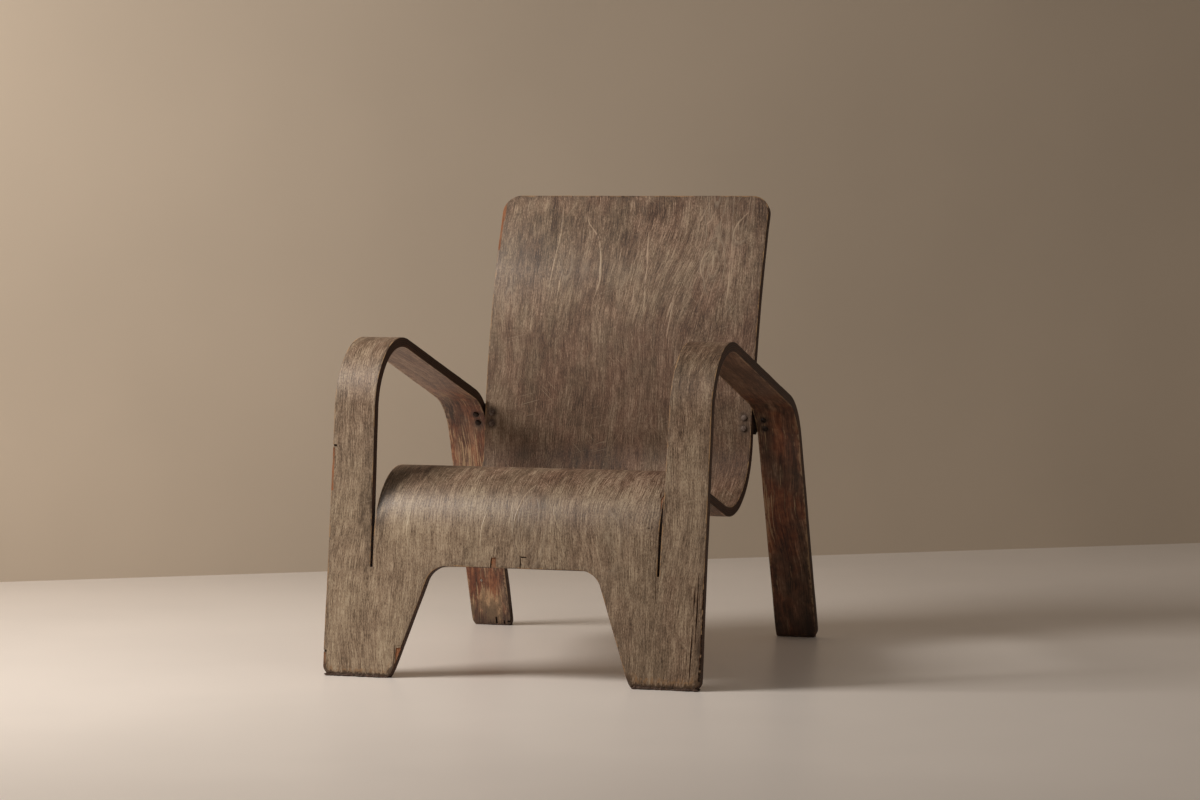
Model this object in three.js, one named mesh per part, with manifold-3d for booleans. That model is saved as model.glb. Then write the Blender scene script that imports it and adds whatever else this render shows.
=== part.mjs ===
// A lounge chair moulded from one sheet of plywood.
// Two saw cuts part the sheet into a middle tongue, bent into seat and back,
// and two side straps, bent into front legs, arms and rear legs.
// Where the straps pass the back, folded steel brackets bolt them to it from behind.
// Lengths are millimetres: X across, Y to the rear, Z up, origin on the floor under the middle.

import * as THREE from 'three';
import { mergeVertices } from 'three/addons/utils/BufferGeometryUtils.js';
import Module from 'manifold-3d';

const wasm = await Module();
wasm.setup();

const degrees = Math.PI / 180;

// The sheet
const sheetThickness = 16;
const overallHeight = 780;
const chordError = 0.08;

// Straps in side view, traced along their outer face
const frontLean = 7.7 * degrees;
const legStraight = 439;
const armBendRadius = 124;
const armSlope = 16.5 * degrees;
const rearBendRadius = 120.5;
const rearLegLean = 20 * degrees;

// Tongue in side view, traced along its upper face
const rollStart = 230;
const rollRadius = 122;
const seatSlope = 16.3 * degrees;
const seatStraight = 260;
const seatBendRadius = 113;
const backLowLean = 5.8 * degrees;
const backRadius = 1300;

// Tongue in front view: half its width, and how far it draws in or flares out along its length
const tongueHalfWidth = 240.5;
const seatDrawIn = 1;
const backFlare = 3;
const topFlare = 5.5;
const backCornerRadius = 32;
const cornerRoomShare = 1.15;

// Saw cuts and straps in front view
const sawCut = 3;
const sawCutEnd = 178;
const strapFlare = 5;
const strapWidth = 74.5;
const armDrawIn = 4;

// Feet, and the arch between the front ones
const frontFootWidth = 116.5;
const archHeight = 183;
const archSplay = 63.5;
const archCornerRadius = 35;
const footInnerRadius = 10;
const footOuterRadius = 16;

// How far round its rear bend the strap passes the rear face of the back
const crossingShare = 0.58;

// Steel brackets behind the places where the straps pass the back
const steelThickness = 3;
const webClearance = 0.5;
const seatGap = 0.3;
const foldOverlap = 0.4;
const flangeMargin = 8.5;

// Bolts: drops run down from the crossing, insets run in from the edge of the sheet
const backBoltDrop = 21;
const backBoltSpacing = 19;
const backBoltInset = 13.5;
const strapBoltDrop = 14;
const strapBoltSpacing = 22;
const strapBoltInset = 15.5;
const boltRadius = 2.5;
const boltHeadRadius = 5.25;
const boltHeadHeight = 3;
const boltRimHeight = 0.7;
const tipChamferShare = 0.2;
const boltTail = 2;
const washerRadius = 5;
const washerThickness = 1.2;
const nutAcrossFlats = 8;
const nutThickness = 4;

// A small round-headed pin driven into the front of one rear leg
const pinHeight = 95;
const pinInset = 27.5;
const pinRadius = 1;
const pinHeadRadius = 2.3;
const pinHeadHeight = 1.3;
const pinRimHeight = 0.3;
const pinLength = 11;

// Facets of small round pieces, and how far cutting tools run past what they cut
const roundSides = 20;
const domeSteps = 4;
const nutSides = 6;
const cutOverrun = 5;

// How many flat facets keep a bend within the chord error
function facetCount(radius, turn) {
  const step = 2 * Math.acos(1 - chordError / radius);
  return Math.max(1, Math.ceil(turn / step));
}

// The line that one face of the sheet follows in side view, as straights and bends
class Course {
  constructor(heading) {
    this.pieces = [];
    this.length = 0;
    this.end = { y: 0, z: 0, heading };
  }

  // Curvature is positive where the course turns up, negative where it turns down
  add(length, curvature) {
    this.pieces.push({ ...this.end, from: this.length, length, curvature });
    this.length += length;
    this.end = this.at(this.length);
    return this;
  }

  straight(length) {
    return this.add(length, 0);
  }

  bend(radius, heading) {
    const turn = heading - this.end.heading;
    return this.add(radius * Math.abs(turn), Math.sign(turn) / radius);
  }

  // Place and heading at a distance along the course
  at(run) {
    const piece = this.pieces.findLast(({ from }) => from <= run) ?? this.pieces[0];
    const { y, z, heading, curvature } = piece;
    const along = run - piece.from;
    if (curvature === 0) {
      return { y: y + along * Math.cos(heading), z: z + along * Math.sin(heading), heading };
    }
    const turned = heading + along * curvature;
    return {
      y: y + (Math.sin(turned) - Math.sin(heading)) / curvature,
      z: z - (Math.cos(turned) - Math.cos(heading)) / curvature,
      heading: turned,
    };
  }

  // Distances along the course at which the sheet has its facet lines
  stops(from = 0, to = this.length) {
    const inside = (run) => run - from > chordError && to - run > chordError;
    const stops = [from];
    for (const piece of this.pieces) {
      const bend = Math.abs(piece.curvature);
      const facets = bend > 0 ? facetCount(1 / bend, bend * piece.length) : 1;
      for (let i = 1; i <= facets; i++) {
        const run = piece.from + (piece.length * i) / facets;
        if (inside(run)) stops.push(run);
      }
    }
    return [...stops, to];
  }

  // Point of the faceted sheet at a depth below the traced face
  face(run, depth) {
    const stops = this.stops();
    const i = Math.min(Math.max(1, stops.findIndex((stop) => stop >= run)), stops.length - 1);
    const start = below(this.at(stops[i - 1]), depth);
    const end = below(this.at(stops[i]), depth);
    return start.lerp(end, (run - stops[i - 1]) / (stops[i] - stops[i - 1]));
  }
}

// Side-view point (y, z) at a depth below a place on a course, on the right of its heading
function below({ y, z, heading }, depth) {
  return new THREE.Vector2(y + depth * Math.sin(heading), z - depth * Math.cos(heading));
}

// Straight taper between [run, value] pairs
function taper(...pairs) {
  return (run) => {
    const next = Math.max(1, pairs.findIndex(([at]) => at >= run));
    const [[fromRun, fromValue], [toRun, toValue]] = [pairs[next - 1], pairs[next]];
    return THREE.MathUtils.mapLinear(run, fromRun, toRun, fromValue, toValue);
  };
}

// Heading of the front plane, which both courses start in
const frontHeading = Math.PI / 2 - frontLean;

// The last stretch of the back is straight, to hold its rounded corners
const topStraight = backCornerRadius * cornerRoomShare;

// Heading at which the back's long bend ends so that the top edge comes out at the overall height
function backTopHeading({ z, heading }) {
  const reach = Math.hypot(backRadius, topStraight);
  const rise = overallHeight - z + backRadius * Math.cos(heading);
  return Math.atan2(topStraight, backRadius) + Math.acos(rise / reach);
}

const tongue = new Course(frontHeading)
  .straight(rollStart)
  .bend(rollRadius, -seatSlope)
  .straight(seatStraight);
const seatRun = tongue.length;
tongue.bend(seatBendRadius, Math.PI / 2 - backLowLean);
const backRun = tongue.length;
tongue.bend(backRadius, backTopHeading(tongue.end));
const topRun = tongue.length;
tongue.straight(topStraight);

const tongueHalf = taper(
  [0, tongueHalfWidth],
  [rollStart, tongueHalfWidth],
  [seatRun, tongueHalfWidth - seatDrawIn],
  [backRun, tongueHalfWidth + backFlare],
  [tongue.length, tongueHalfWidth + topFlare],
);

const strap = new Course(frontHeading).straight(legStraight).bend(armBendRadius, -armSlope);
const armRun = strap.length;

// The last place of a stretch of a course at which a test still holds
function lastRun(from, to, holds) {
  let [low, high] = [from, to];
  while (high - low > chordError * chordError) {
    const middle = (low + high) / 2;
    if (holds(middle)) low = middle;
    else high = middle;
  }
  return low;
}

// As the arm gets longer, the crossing on the rear bend slides along a line; it stops at the back
const legHeading = rearLegLean - Math.PI / 2;
const turnToCrossing = (legHeading + armSlope) * crossingShare;
const crossingStep = new Course(-armSlope).bend(rearBendRadius, turnToCrossing - armSlope);
const slideStart = below(strap.end, 0).add(below(crossingStep.end, 0));
const slideWay = new THREE.Vector2(Math.cos(armSlope), -Math.sin(armSlope));
const fromSlideStart = (run) => below(tongue.at(run), sheetThickness).sub(slideStart);
const tongueCrossing = lastRun(seatRun, topRun, (run) => slideWay.cross(fromSlideStart(run)) < 0);

strap.straight(slideWay.dot(fromSlideStart(tongueCrossing)));
const rearBendRun = strap.length;
const strapCrossing = rearBendRun + crossingStep.length;
strap.bend(rearBendRadius, legHeading);
const rearLegRun = strap.length;
strap.straight(strap.end.z / Math.cos(rearLegLean));

// The bracket's web stands in the gap between the edge of the back and the edge of the strap
const webInner = tongueHalf(tongueCrossing) + webClearance;
const webOuter = webInner + steelThickness;

// Edges of a strap, as distances from the middle of the chair
const strapInnerAtCut = tongueHalfWidth + sawCut;
const strapInner = taper(
  [0, strapInnerAtCut],
  [sawCutEnd, strapInnerAtCut],
  [legStraight, strapInnerAtCut + strapFlare],
  [armRun, strapInnerAtCut + strapFlare],
  [rearBendRun, webOuter + webClearance],
  [strap.length, webOuter + webClearance],
);
const strapWidthAt = taper(
  [0, strapWidth],
  [sawCutEnd, strapWidth],
  [legStraight, strapWidth - armDrawIn],
  [armRun, strapWidth - armDrawIn],
  [rearBendRun, strapWidth],
  [strap.length, strapWidth],
);
const strapOuter = (run) => strapInner(run) + strapWidthAt(run);

// Rounds the corners of an outline; each corner is [x, run, radius]
function roundedOutline(corners) {
  const points = corners.map(([x, run]) => new THREE.Vector2(x, run));
  const outline = [];
  corners.forEach(([, , radius], i) => {
    const corner = points[i];
    if (radius === 0) {
      outline.push(corner);
      return;
    }
    const toBefore = points.at(i - 1).clone().sub(corner).normalize();
    const toAfter = points[(i + 1) % points.length].clone().sub(corner).normalize();
    const opening = Math.acos(toBefore.dot(toAfter));
    const middle = toBefore.clone().add(toAfter).normalize();
    const centre = corner.clone().addScaledVector(middle, radius / Math.sin(opening / 2));
    const start = corner.clone().addScaledVector(toBefore, radius / Math.tan(opening / 2)).sub(centre);
    const turn = (Math.PI - opening) * Math.sign(toAfter.cross(toBefore));
    const facets = facetCount(radius, Math.abs(turn));
    for (let step = 0; step <= facets; step++) {
      const spoke = start.clone().rotateAround(new THREE.Vector2(), (turn * step) / facets);
      outline.push(centre.clone().add(spoke));
    }
  });
  return outline;
}

// The outer skin of the sheet, laid patch by patch along the two courses
class Skin {
  constructor() {
    this.positions = [];
    this.normals = [];
  }

  point(course, x, run) {
    const { y, z, heading } = course.at(run);
    this.positions.push(x, y, z);
    this.normals.push(0, -Math.sin(heading), Math.cos(heading));
  }

  // A flat patch with any outline of (x, run) points
  patch(course, outline) {
    for (const [a, b, c] of THREE.ShapeUtils.triangulateShape(outline, [])) {
      const [p, q, r] = [outline[a], outline[b], outline[c]];
      const anticlockwise = q.clone().sub(p).cross(r.clone().sub(p)) > 0;
      for (const { x, y } of anticlockwise ? [p, q, r] : [p, r, q]) this.point(course, x, y);
    }
  }

  // A band that follows the bends of a course between two edges
  band(course, from, to, leftEdge, rightEdge) {
    const stops = course.stops(from, to);
    for (let i = 1; i < stops.length; i++) {
      const [near, far] = [stops[i - 1], stops[i]];
      this.patch(course, [
        new THREE.Vector2(leftEdge(near), near),
        new THREE.Vector2(rightEdge(near), near),
        new THREE.Vector2(rightEdge(far), far),
        new THREE.Vector2(leftEdge(far), far),
      ]);
    }
  }

  // The skin with a second one behind it, and walls along all free edges
  thicken(thickness) {
    const skin = new THREE.BufferGeometry();
    skin.setAttribute('position', new THREE.Float32BufferAttribute(this.positions, 3));
    skin.setAttribute('normal', new THREE.Float32BufferAttribute(this.normals, 3));
    const { index, attributes } = mergeVertices(skin);
    const { position, normal } = attributes;
    const { count } = position;
    const points = Array.from(position.array);
    for (let i = 0; i < count * 3; i++) points.push(points[i] - normal.array[i] * thickness);

    const faces = [];
    const edges = new Set();
    for (let i = 0; i < index.count; i += 3) {
      const [a, b, c] = index.array.slice(i, i + 3);
      faces.push(a, b, c, a + count, c + count, b + count);
      edges.add(`${a} ${b}`).add(`${b} ${c}`).add(`${c} ${a}`);
    }
    for (const edge of edges) {
      const [p, q] = edge.split(' ').map(Number);
      if (edges.has(`${q} ${p}`)) continue;
      faces.push(q, p, p + count, q, p + count, q + count);
    }
    const solid = new THREE.BufferGeometry();
    solid.setAttribute('position', new THREE.Float32BufferAttribute(points, 3));
    return solid.setIndex(faces);
  }
}

// Solids for cutting and joining, and geometries from them
function toSolid(geometry) {
  const bare = geometry.clone().deleteAttribute('normal').deleteAttribute('uv');
  const { index, attributes } = mergeVertices(bare);
  return new wasm.Manifold(new wasm.Mesh({
    numProp: 3,
    vertProperties: new Float32Array(attributes.position.array),
    triVerts: new Uint32Array(index.array),
  }));
}

function toGeometry(solid) {
  const { vertProperties, triVerts } = solid.getMesh();
  const geometry = new THREE.BufferGeometry();
  geometry.setAttribute('position', new THREE.Float32BufferAttribute(vertProperties, 3));
  geometry.setIndex(Array.from(triVerts));
  return geometry;
}

function mirrored(geometry) {
  const copy = geometry.clone().scale(-1, 1, 1);
  const order = copy.index.array;
  const faces = [];
  for (let i = 0; i < order.length; i += 3) faces.push(order[i], order[i + 2], order[i + 1]);
  return copy.setIndex(faces);
}

// A turned piece about Z; its (radius, z) profile runs from the low end to the high end
function turned(profile) {
  const points = profile.map(([radius, z]) => new THREE.Vector2(radius, z));
  return new THREE.LatheGeometry(points, roundSides).rotateX(Math.PI / 2);
}

// Side-view outline extruded across the chair
function acrossChair(outline, from, to) {
  const geometry = new THREE.ExtrudeGeometry(new THREE.Shape(outline), {
    depth: to - from,
    bevelEnabled: false,
  });
  const [across, rear, up] = [new THREE.Vector3(1, 0, 0), new THREE.Vector3(0, 1, 0), new THREE.Vector3(0, 0, 1)];
  const placement = new THREE.Matrix4().makeBasis(rear, up, across).setPosition(from, 0, 0);
  return geometry.applyMatrix4(placement);
}

// A bolt's place: its group's origin is under the head and its +Z points to the nut
function fixingPlace(course, run, x, headDepth, towardsTracedFace) {
  const place = course.at(run);
  const seat = below(place, headDepth);
  const sense = towardsTracedFace ? 1 : -1;
  const axis = new THREE.Vector3(0, -Math.sin(place.heading), Math.cos(place.heading)).multiplyScalar(sense);
  const turn = new THREE.Quaternion().setFromUnitVectors(new THREE.Vector3(0, 0, 1), axis);
  return new THREE.Matrix4().compose(new THREE.Vector3(x, seat.x, seat.y), turn, new THREE.Vector3(1, 1, 1));
}

// A flat head on the hollow side of the rear bend stands off by this much
const hollowRadius = rearBendRadius - sheetThickness;
const hollowRise = hollowRadius - Math.sqrt(hollowRadius ** 2 - boltHeadRadius ** 2);

const backBoltX = tongueHalf(tongueCrossing) - backBoltInset;
const strapBoltX = strapInner(strapCrossing) + strapBoltInset;

// The four bolts on one side of the chair: upper and lower, in the back and in the strap
function boltPlaces(side) {
  const places = {};
  for (const [level, sense] of [['upper', 1], ['lower', -1]]) {
    const backRunHere = tongueCrossing - backBoltDrop + (sense * backBoltSpacing) / 2;
    const strapRunHere = strapCrossing + strapBoltDrop - (sense * strapBoltSpacing) / 2;
    places[`back_${level}`] = fixingPlace(tongue, backRunHere, side * backBoltX, -seatGap, false);
    places[`strap_${level}`] = fixingPlace(
      strap, strapRunHere, side * strapBoltX, sheetThickness + hollowRise + seatGap, true,
    );
  }
  return places;
}

// From under the head to the outer face of the bracket's flange
const gripLength = seatGap + sheetThickness + seatGap + steelThickness;
const gripOf = (name) => gripLength + (name.startsWith('strap') ? hollowRise : 0);

const sides = { left: -1, right: 1 };
const allBolts = Object.entries(sides).flatMap(([sideName, side]) =>
  Object.entries(boltPlaces(side)).map(([name, place]) => ({
    name: `${name}_${sideName}`,
    side,
    grip: gripOf(name),
    place,
  })));

const pinPlace = fixingPlace(
  strap, strap.length - pinHeight, -(strapOuter(strap.length) - pinInset), sheetThickness + seatGap, true,
);

// A round hole along +Z of a place
function hole(place, radius, from, to) {
  const cylinder = new THREE.CylinderGeometry(radius, radius, to - from, roundSides);
  cylinder.rotateX(Math.PI / 2).translate(0, 0, (from + to) / 2);
  return toSolid(cylinder.applyMatrix4(place));
}

const boltHole = ({ place, grip }) => hole(place, boltRadius + seatGap, -cutOverrun, grip + cutOverrun);

// The front panel: both feet, the arch between them and the lower ends of the saw cuts
function panelOutline() {
  const archFootHalf = strapOuter(0) - frontFootWidth;
  const half = [
    [archFootHalf - archSplay, archHeight, archCornerRadius],
    [archFootHalf, 0, footInnerRadius],
    [strapOuter(0), 0, footOuterRadius],
    [strapOuter(rollStart), rollStart, 0],
    [strapInner(rollStart), rollStart, 0],
    [strapInner(sawCutEnd), sawCutEnd, 0],
    [tongueHalf(sawCutEnd), sawCutEnd, 0],
    [tongueHalf(rollStart), rollStart, 0],
  ];
  const otherHalf = half.map(([x, run, radius]) => [-x, run, radius]).reverse();
  return roundedOutline([...half, ...otherHalf]);
}

function strapFootOutline(side) {
  const corners = [
    [strapInner(rearLegRun), rearLegRun, 0],
    [strapOuter(rearLegRun), rearLegRun, 0],
    [strapOuter(strap.length), strap.length, footOuterRadius],
    [strapInner(strap.length), strap.length, footInnerRadius],
  ];
  return roundedOutline(corners.map(([x, run, radius]) => [side * x, run, radius]));
}

function backTopOutline() {
  return roundedOutline([
    [-tongueHalf(topRun), topRun, 0],
    [tongueHalf(topRun), topRun, 0],
    [tongueHalf(tongue.length), tongue.length, backCornerRadius],
    [-tongueHalf(tongue.length), tongue.length, backCornerRadius],
  ]);
}

// The moulded sheet, with soles cut level with the floor and its fixing holes drilled
function plywoodShell() {
  const skin = new Skin();
  skin.patch(strap, panelOutline());
  skin.band(strap, rollStart, rearLegRun, strapInner, strapOuter);
  skin.band(strap, rollStart, rearLegRun, (run) => -strapOuter(run), (run) => -strapInner(run));
  skin.patch(strap, strapFootOutline(sides.right));
  skin.patch(strap, strapFootOutline(sides.left));
  skin.band(tongue, rollStart, topRun, (run) => -tongueHalf(run), tongueHalf);
  skin.patch(tongue, backTopOutline());

  const spread = 2 * (strap.end.y + cutOverrun);
  const floor = new THREE.BoxGeometry(spread, spread, sheetThickness).translate(0, 0, -sheetThickness / 2);
  let shell = toSolid(skin.thicken(sheetThickness)).subtract(toSolid(floor));
  for (const bolt of allBolts) shell = shell.subtract(boltHole(bolt));
  const pinHole = hole(pinPlace, pinRadius + seatGap, -cutOverrun, pinLength + seatGap);
  return toGeometry(shell.subtract(pinHole));
}

// Runs covered by a flange that holds two bolts
function flangeSpan(middle, spacing) {
  const reach = spacing / 2 + flangeMargin;
  return [middle - reach, middle + reach];
}

// A flange that lies along one face of the sheet, from one depth to another
function flange(course, [from, to], fromDepth, toDepth, innerX, outerX) {
  const stops = course.stops(from, to);
  const near = stops.map((run) => course.face(run, fromDepth));
  const far = stops.map((run) => course.face(run, toDepth)).reverse();
  return toSolid(acrossChair([...near, ...far], innerX, outerX));
}

// A folded bracket: one flange behind the back, one behind the strap, and a wedge of web between
function bracket() {
  const backSpan = flangeSpan(tongueCrossing - backBoltDrop, backBoltSpacing);
  const strapSpan = flangeSpan(strapCrossing + strapBoltDrop, strapBoltSpacing);
  const backFace = sheetThickness + seatGap;
  const backFlange = flange(
    tongue, backSpan, backFace, backFace + steelThickness, backBoltX - flangeMargin, webOuter,
  );
  const strapFlange = flange(
    strap, strapSpan, -seatGap - steelThickness, -seatGap, webInner, strapBoltX + flangeMargin,
  );

  // The web starts below the crossing, where the flanges stand clear of each other
  const wedge = Math.PI - (tongue.at(tongueCrossing).heading - strap.at(strapCrossing).heading);
  const clearOf = (seatGap + steelThickness) / Math.sin(wedge);
  const backStops = tongue.stops(backSpan[0], tongueCrossing - clearOf);
  const strapStops = strap.stops(strapCrossing + clearOf, strapSpan[1]);
  const web = acrossChair([
    ...backStops.map((run) => tongue.face(run, backFace + steelThickness - foldOverlap)),
    ...strapStops.map((run) => strap.face(run, -seatGap - foldOverlap)),
  ], webInner, webOuter);

  let solid = backFlange.add(strapFlange).add(toSolid(web));
  for (const bolt of allBolts.filter(({ side }) => side === sides.right)) {
    solid = solid.subtract(boltHole(bolt));
  }
  return toGeometry(solid);
}

// A round-headed fixing; its head sits below z = 0 and its shank runs up from there
function roundHeaded(radius, length, headRadius, headHeight, rimHeight) {
  const dome = [];
  for (let step = 0; step <= domeSteps; step++) {
    const angle = (Math.PI / 2) * (step / domeSteps);
    dome.push([headRadius * Math.sin(angle), -rimHeight - (headHeight - rimHeight) * Math.cos(angle)]);
  }
  const tipChamfer = radius * tipChamferShare;
  return turned([
    ...dome,
    [headRadius, 0],
    [radius, 0],
    [radius, length - tipChamfer],
    [radius - tipChamfer, length],
    [0, length],
  ]);
}

function washer() {
  const bore = boltRadius + seatGap;
  return turned([
    [bore, washerThickness],
    [bore, 0],
    [washerRadius, 0],
    [washerRadius, washerThickness],
    [bore, washerThickness],
  ]);
}

function ring(radius, count) {
  return Array.from({ length: count }, (_, i) => {
    const angle = (2 * Math.PI * i) / count;
    return new THREE.Vector2(radius * Math.cos(angle), radius * Math.sin(angle));
  });
}

function nut() {
  const outline = new THREE.Shape(ring(nutAcrossFlats / 2 / Math.cos(Math.PI / nutSides), nutSides));
  outline.holes.push(new THREE.Path(ring(boltRadius + seatGap, roundSides)));
  return new THREE.ExtrudeGeometry(outline, { depth: nutThickness, bevelEnabled: false });
}

// Finishes: grey-brown weathered veneer and dark, dull steel
const weatheredVeneer = () => new THREE.MeshStandardMaterial({ color: 0x8a7660, roughness: 0.7, metalness: 0 });
const darkSteel = () => new THREE.MeshStandardMaterial({ color: 0x2e2a28, roughness: 0.55, metalness: 0.8 });
const brightSteel = () => new THREE.MeshStandardMaterial({ color: 0xb9b4ab, roughness: 0.35, metalness: 1 });

function piece(name, geometry, material) {
  const mesh = new THREE.Mesh(geometry, material);
  mesh.name = name;
  return mesh;
}

// A bolt with its washer and nut, stacked along its own axis
function boltSet({ name, grip, place }) {
  const washerStart = grip + seatGap;
  const nutStart = washerStart + washerThickness + seatGap;
  const length = nutStart + nutThickness + boltTail;
  const set = new THREE.Group();
  set.applyMatrix4(place);
  set.add(piece(
    `bolt_${name}`,
    roundHeaded(boltRadius, length, boltHeadRadius, boltHeadHeight, boltRimHeight),
    darkSteel(),
  ));
  const washerMesh = piece(`washer_${name}`, washer(), darkSteel());
  washerMesh.position.z = washerStart;
  const nutMesh = piece(`nut_${name}`, nut(), darkSteel());
  nutMesh.position.z = nutStart;
  return set.add(washerMesh, nutMesh);
}

function legPin() {
  const set = new THREE.Group();
  set.applyMatrix4(pinPlace);
  const geometry = roundHeaded(pinRadius, pinLength, pinHeadRadius, pinHeadHeight, pinRimHeight);
  return set.add(piece('leg_pin', geometry, brightSteel()));
}

const chair = new THREE.Group();
chair.add(piece('plywood_shell', plywoodShell(), weatheredVeneer()));
const rightBracket = bracket();
chair.add(piece('bracket_right', rightBracket, darkSteel()));
chair.add(piece('bracket_left', mirrored(rightBracket), darkSteel()));
for (const bolt of allBolts) chair.add(boltSet(bolt));
chair.add(legPin());

// The courses start at the front feet; the origin goes under the middle of the whole chair
const bounds = new THREE.Box3().setFromObject(chair, true);
chair.position.y = -(bounds.min.y + bounds.max.y) / 2;

export default chair;
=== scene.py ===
"""A lounge chair moulded from one sheet of old plywood: its worn shell, its steelwork and a plain studio."""

import math

import bmesh
import bpy
import numpy as np
from mathutils import Matrix, Vector, kdtree
from mathutils.geometry import delaunay_2d_cdt


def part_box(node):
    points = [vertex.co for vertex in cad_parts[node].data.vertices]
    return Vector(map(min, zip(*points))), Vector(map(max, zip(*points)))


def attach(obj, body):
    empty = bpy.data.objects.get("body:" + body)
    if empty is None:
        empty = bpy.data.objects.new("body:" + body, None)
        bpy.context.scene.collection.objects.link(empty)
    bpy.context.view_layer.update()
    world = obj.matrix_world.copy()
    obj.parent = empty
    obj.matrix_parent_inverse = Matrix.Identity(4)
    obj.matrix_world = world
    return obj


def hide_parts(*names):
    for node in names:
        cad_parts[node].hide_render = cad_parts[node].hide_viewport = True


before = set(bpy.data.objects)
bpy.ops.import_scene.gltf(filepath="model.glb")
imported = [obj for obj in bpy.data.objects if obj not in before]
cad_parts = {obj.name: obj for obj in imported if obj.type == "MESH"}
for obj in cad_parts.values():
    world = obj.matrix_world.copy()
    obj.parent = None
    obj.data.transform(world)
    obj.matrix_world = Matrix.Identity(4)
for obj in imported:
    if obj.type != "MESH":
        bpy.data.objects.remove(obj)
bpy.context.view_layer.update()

# Lengths are metres, angles radians. X runs across the chair, Y to the rear, Z up.
MM = 0.001

# The sheet, and the two lines that its faces follow in side view
SHEET = 16 * MM
FRONT_HEADING = math.radians(90 - 7.7)
LEG_STRAIGHT = 439 * MM
ARM_BEND_RADIUS = 124 * MM
ARM_HEADING = math.radians(-16.5)
REAR_BEND_RADIUS = 120.5 * MM
REAR_LEG_HEADING = math.radians(20 - 90)
ROLL_START = 230 * MM
ROLL_RADIUS = 122 * MM
SEAT_HEADING = math.radians(-16.3)
SEAT_STRAIGHT = 260 * MM
SEAT_BEND_RADIUS = 113 * MM
BACK_LOW_HEADING = math.radians(90 - 5.8)
BACK_RADIUS = 1300 * MM
CROSSING_SHARE = 0.58

# The outline of the sheet, laid flat
TONGUE_HALF = 240.5 * MM
SEAT_DRAW_IN = 1 * MM
BACK_FLARE = 3 * MM
TOP_FLARE = 5.5 * MM
BACK_CORNER_RADIUS = 32 * MM
TOP_STRAIGHT = BACK_CORNER_RADIUS * 1.15
SAW_CUT = 3 * MM
SAW_CUT_END = 178 * MM
SAW_CORNER_RADIUS = 0.6 * MM
STRAP_FLARE = 5 * MM
STRAP_WIDTH = 74.5 * MM
ARM_DRAW_IN = 4 * MM
WEB_ROOM = 4 * MM
FRONT_FOOT_WIDTH = 116.5 * MM
ARCH_HEIGHT = 183 * MM
ARCH_SPLAY = 63.5 * MM
ARCH_CORNER_RADIUS = 35 * MM
FOOT_INNER_RADIUS = 10 * MM
FOOT_OUTER_RADIUS = 16 * MM

# How finely the worn shell is modelled
EDGE_STEP = 4.5 * MM
FOOT_EDGE_STEP = 1.6 * MM
FACE_STEP = 5 * MM
FOOT_FACE_STEP = 3 * MM
FOOT_ZONE = 26 * MM
FIRST_ROW = 2.4 * MM
SECOND_ROW = 5.5 * MM
ARRIS_STEPS = 3
WALL_STEPS = 4
TINY = 1e-6

# The eased arrises of the sheet, and the crushed ends of its feet
ARRIS = 0.9 * MM
ARRIS_SPREAD = 0.5 * MM
FOOT_ARRIS = 6 * MM
EDGE_WOBBLE = 0.3 * MM
FOOT_WOBBLE = 0.9 * MM
SEED = 11

# Tears, splits and frayed ends
TEAR_STEP = 3 * MM
CUT_OVERRUN = 1.5 * MM
SPLIT_BLUNTNESS = 0.08
HOLE_SIDES = 16
FRAYS = 12
FRAY_SIZES = ((0.6 * MM, 5 * MM, 1.5 * MM), (1.8 * MM, 13 * MM, 6 * MM))
PAD_HEIGHT = 4.6 * MM
PAD_BELLY = 1.6 * MM
PAD_OVERHANG = 4 * MM
PAD_CORNER = 3 * MM
PAD_INSET_SHARE = 0.4
RIDGE_STEP = 2.5 * MM
RIDGE_HALF_WIDTH = 2 * MM
RIDGE_HEIGHT = 0.75 * MM
RIDGE_ROOT = 0.15 * MM
RIDGE_SMOOTHING = 20
# How much paler the ridges are painted: a painted highlight along the raised grain
RIDGE_PAINTED_HIGHLIGHT = 0.42
FACE_VENEER, INNER_VENEER, PLY_EDGE, BARE_PLY = range(4)


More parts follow.
